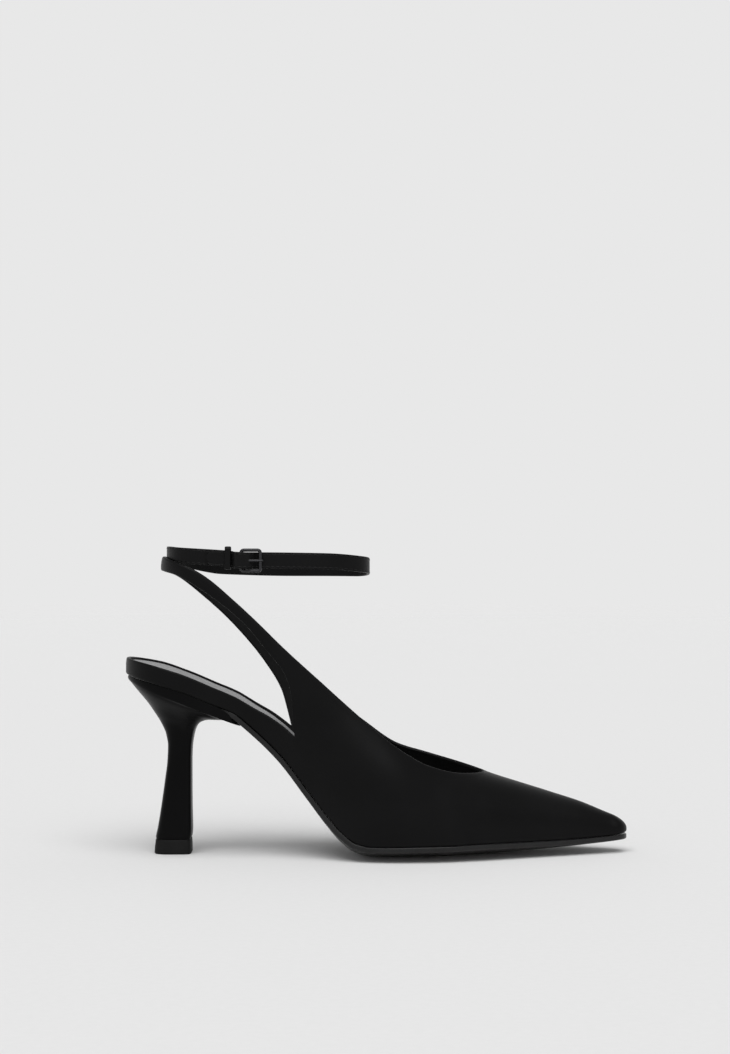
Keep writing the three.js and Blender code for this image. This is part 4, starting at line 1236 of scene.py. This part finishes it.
upper_leather = satin("upper_leather", (.0018, .0018, .0019), (.003, .003, .0032), .42, .10)
lining_leather = leather("lining_leather", (.004, .004, .004), (.007, .007, .007), .6, .12, 3200, .00004)
sock_leather = leather("sock_leather", (.255, .255, .26), (.275, .275, .28), .5, .35, 2400, .00008)
sole_lacquer = lacquer("sole_lacquer", (.003, .003, .003), (.006, .006, .0063), .24, .3, .05)
heel_leather = satin("heel_leather", (.0012, .0012, .0013), (.002, .002, .0022), .36, .07)
rubber = leather("top_piece_rubber", (.004, .004, .004), (.007, .007, .007), .6, .14, 1800, .00003)
strap_leather = leather("strap_leather", (.002, .002, .0021), (.0034, .0034, .0036), .38, .12, 3000, .00004)
thread = leather("thread", (.006, .006, .006), (.012, .012, .012), .5, .25, 6000, .00003)
metal = black_metal("buckle_metal")


# The shoe

shell = dress(make_upper(upper_leather, lining_leather), "upper_leather", "upper")
sock = slab("insole_sock", sock_margin, 0, sock_top, sock_bottom, sock_leather)
dress(sock, "insole_sock", "insole")
sole = slab("outsole_unit", sole_margin, SOLE_END, lacquer_top, lacquer_bottom, sole_lacquer)
dress(sole, "outsole_lacquer", "outsole")
dress(make_heel(heel_leather), "heel_cover", "heel")
dress(make_top_piece(rubber), "top_piece_rubber", "top_piece")

band = make_strap(strap_leather)
slot_size = [[0, 1], [PIN_DIAMETER / 2 + GAP] * 2, [PIN_DIAMETER / 2 + GAP] * 2]
carve(band, [tube("cutter", pin_route(GAP), slot_size, None, 12, .6)] + hole_cutters())
dress(band, "strap_leather", "ankle_strap")
dress(make_stitches(thread), "strap_leather")

frame_centre = ((BUCKLE_REAR + BUCKLE_FRONT) / 2, -STRAP_HALF - BAR_OUT, STRAP_HEIGHT)
frame_loop = rounded_loop(BUCKLE_LENGTH, STRAP_WIDTH + 2 * GAP + BUCKLE_BAR, 1.3)
buckle = ring_sweep("buckle_bar", frame_loop, frame_centre, ((1, 0, 0), (0, 0, 1), (0, -1, 0)), BUCKLE_BAR,
                    BUCKLE_BAR, metal, 2.8)
dress(buckle, "buckle_metal", "buckle_frame")
pin_size = [[0, .3, .8, .97, 1], [.6, .6, .6, .5, .25], [.6, .6, .55, .45, .2]]
dress(tube("pin_rod", pin_route(), pin_size, metal), "buckle_metal", "buckle_pin")

keeper_up = STRAP_HEIGHT + KEEPER_LIFT * STRAP_WIDTH + GAP
keeper_centre = (KEEPER_PLACE, -STRAP_HALF - STRAP_THICKNESS - GAP / 2, keeper_up)
keeper_loop = rounded_loop(2 * STRAP_THICKNESS + 4 * GAP + KEEPER_THICKNESS,
                           STRAP_WIDTH + 5 * GAP + KEEPER_THICKNESS, .95)
keeper = ring_sweep("keeper_loop", keeper_loop, keeper_centre, ((0, 1, 0), (0, 0, 1), (1, 0, 0)),
                    KEEPER_THICKNESS, KEEPER_LENGTH, strap_leather, 4)
dress(keeper, "strap_leather", "strap_keeper")


# Studio

FLOOR_RADIUS = 9
FLOOR_FADE = (1.2, 3.4)
BACKDROP = {"strength": (.807, .3), "height": (.27, .55)}
FRAME_WIDTH = .3504
CAMERA_PLACE = (.0919, -1.05, .1561)


def floor_material():
    """Pale paper that thins out into the background far from the shoe."""
    made, tree, sockets = material("floor_paper", (.8, .8, .8), .9, .1)
    tint(tree, noise(tree, 300, 3), (.765,) * 3, (.775,) * 3, sockets["Base Color"])
    place = add_node(tree, "ShaderNodeTexCoord")
    far = add_node(tree, "ShaderNodeVectorMath")
    far.operation = "LENGTH"
    tree.links.new(place.outputs["Object"], far.inputs[0])
    vary(tree, far.outputs["Value"], 1, 0, sockets["Alpha"], *FLOOR_FADE)
    return made


bpy.ops.mesh.primitive_circle_add(vertices=96, radius=FLOOR_RADIUS, fill_type="NGON",
                                  location=(.09, 0, 0))
floor = bpy.context.object
floor.name = "floor"
floor.data.materials.append(floor_material())

world = bpy.data.worlds.new("studio")
bpy.context.scene.world = world
world.use_nodes = True


def studio_light(tree):
    """A pale backdrop all round, dimmer overhead, where the soft sun stands."""
    sockets = tree.nodes["Background"].inputs
    sockets["Color"].default_value = (1, 1, 1, 1)
    place = add_node(tree, "ShaderNodeTexCoord")
    split = add_node(tree, "ShaderNodeSeparateXYZ")
    tree.links.new(place.outputs["Generated"], split.inputs["Vector"])
    vary(tree, split.outputs["Z"], *BACKDROP["strength"], sockets["Strength"], *BACKDROP["height"])


studio_light(world.node_tree)
bpy.context.scene.view_settings.view_transform = "Standard"


def soft_sun(name, lean, spread_angle, strength):
    """A wide, even light from above, leaning by an angle towards the side that the photo is from."""
    light = bpy.data.lights.new(name, "SUN")
    light.angle = math.radians(spread_angle)
    light.energy = strength
    lamp = bpy.data.objects.new(name, light)
    lamp.rotation_euler = (math.radians(lean), 0, 0)
    bpy.context.collection.objects.link(lamp)


soft_sun("overhead", 26, 56, 2.3)

camera_data = bpy.data.cameras.new("camera")
camera_data.sensor_fit = "HORIZONTAL"
camera_data.sensor_width = 36
camera_data.lens = camera_data.sensor_width * -CAMERA_PLACE[1] / FRAME_WIDTH
camera = bpy.data.objects.new("camera", camera_data)
camera.location = CAMERA_PLACE
camera.rotation_euler = (math.pi / 2, 0, 0)
bpy.context.collection.objects.link(camera)
bpy.context.scene.camera = camera
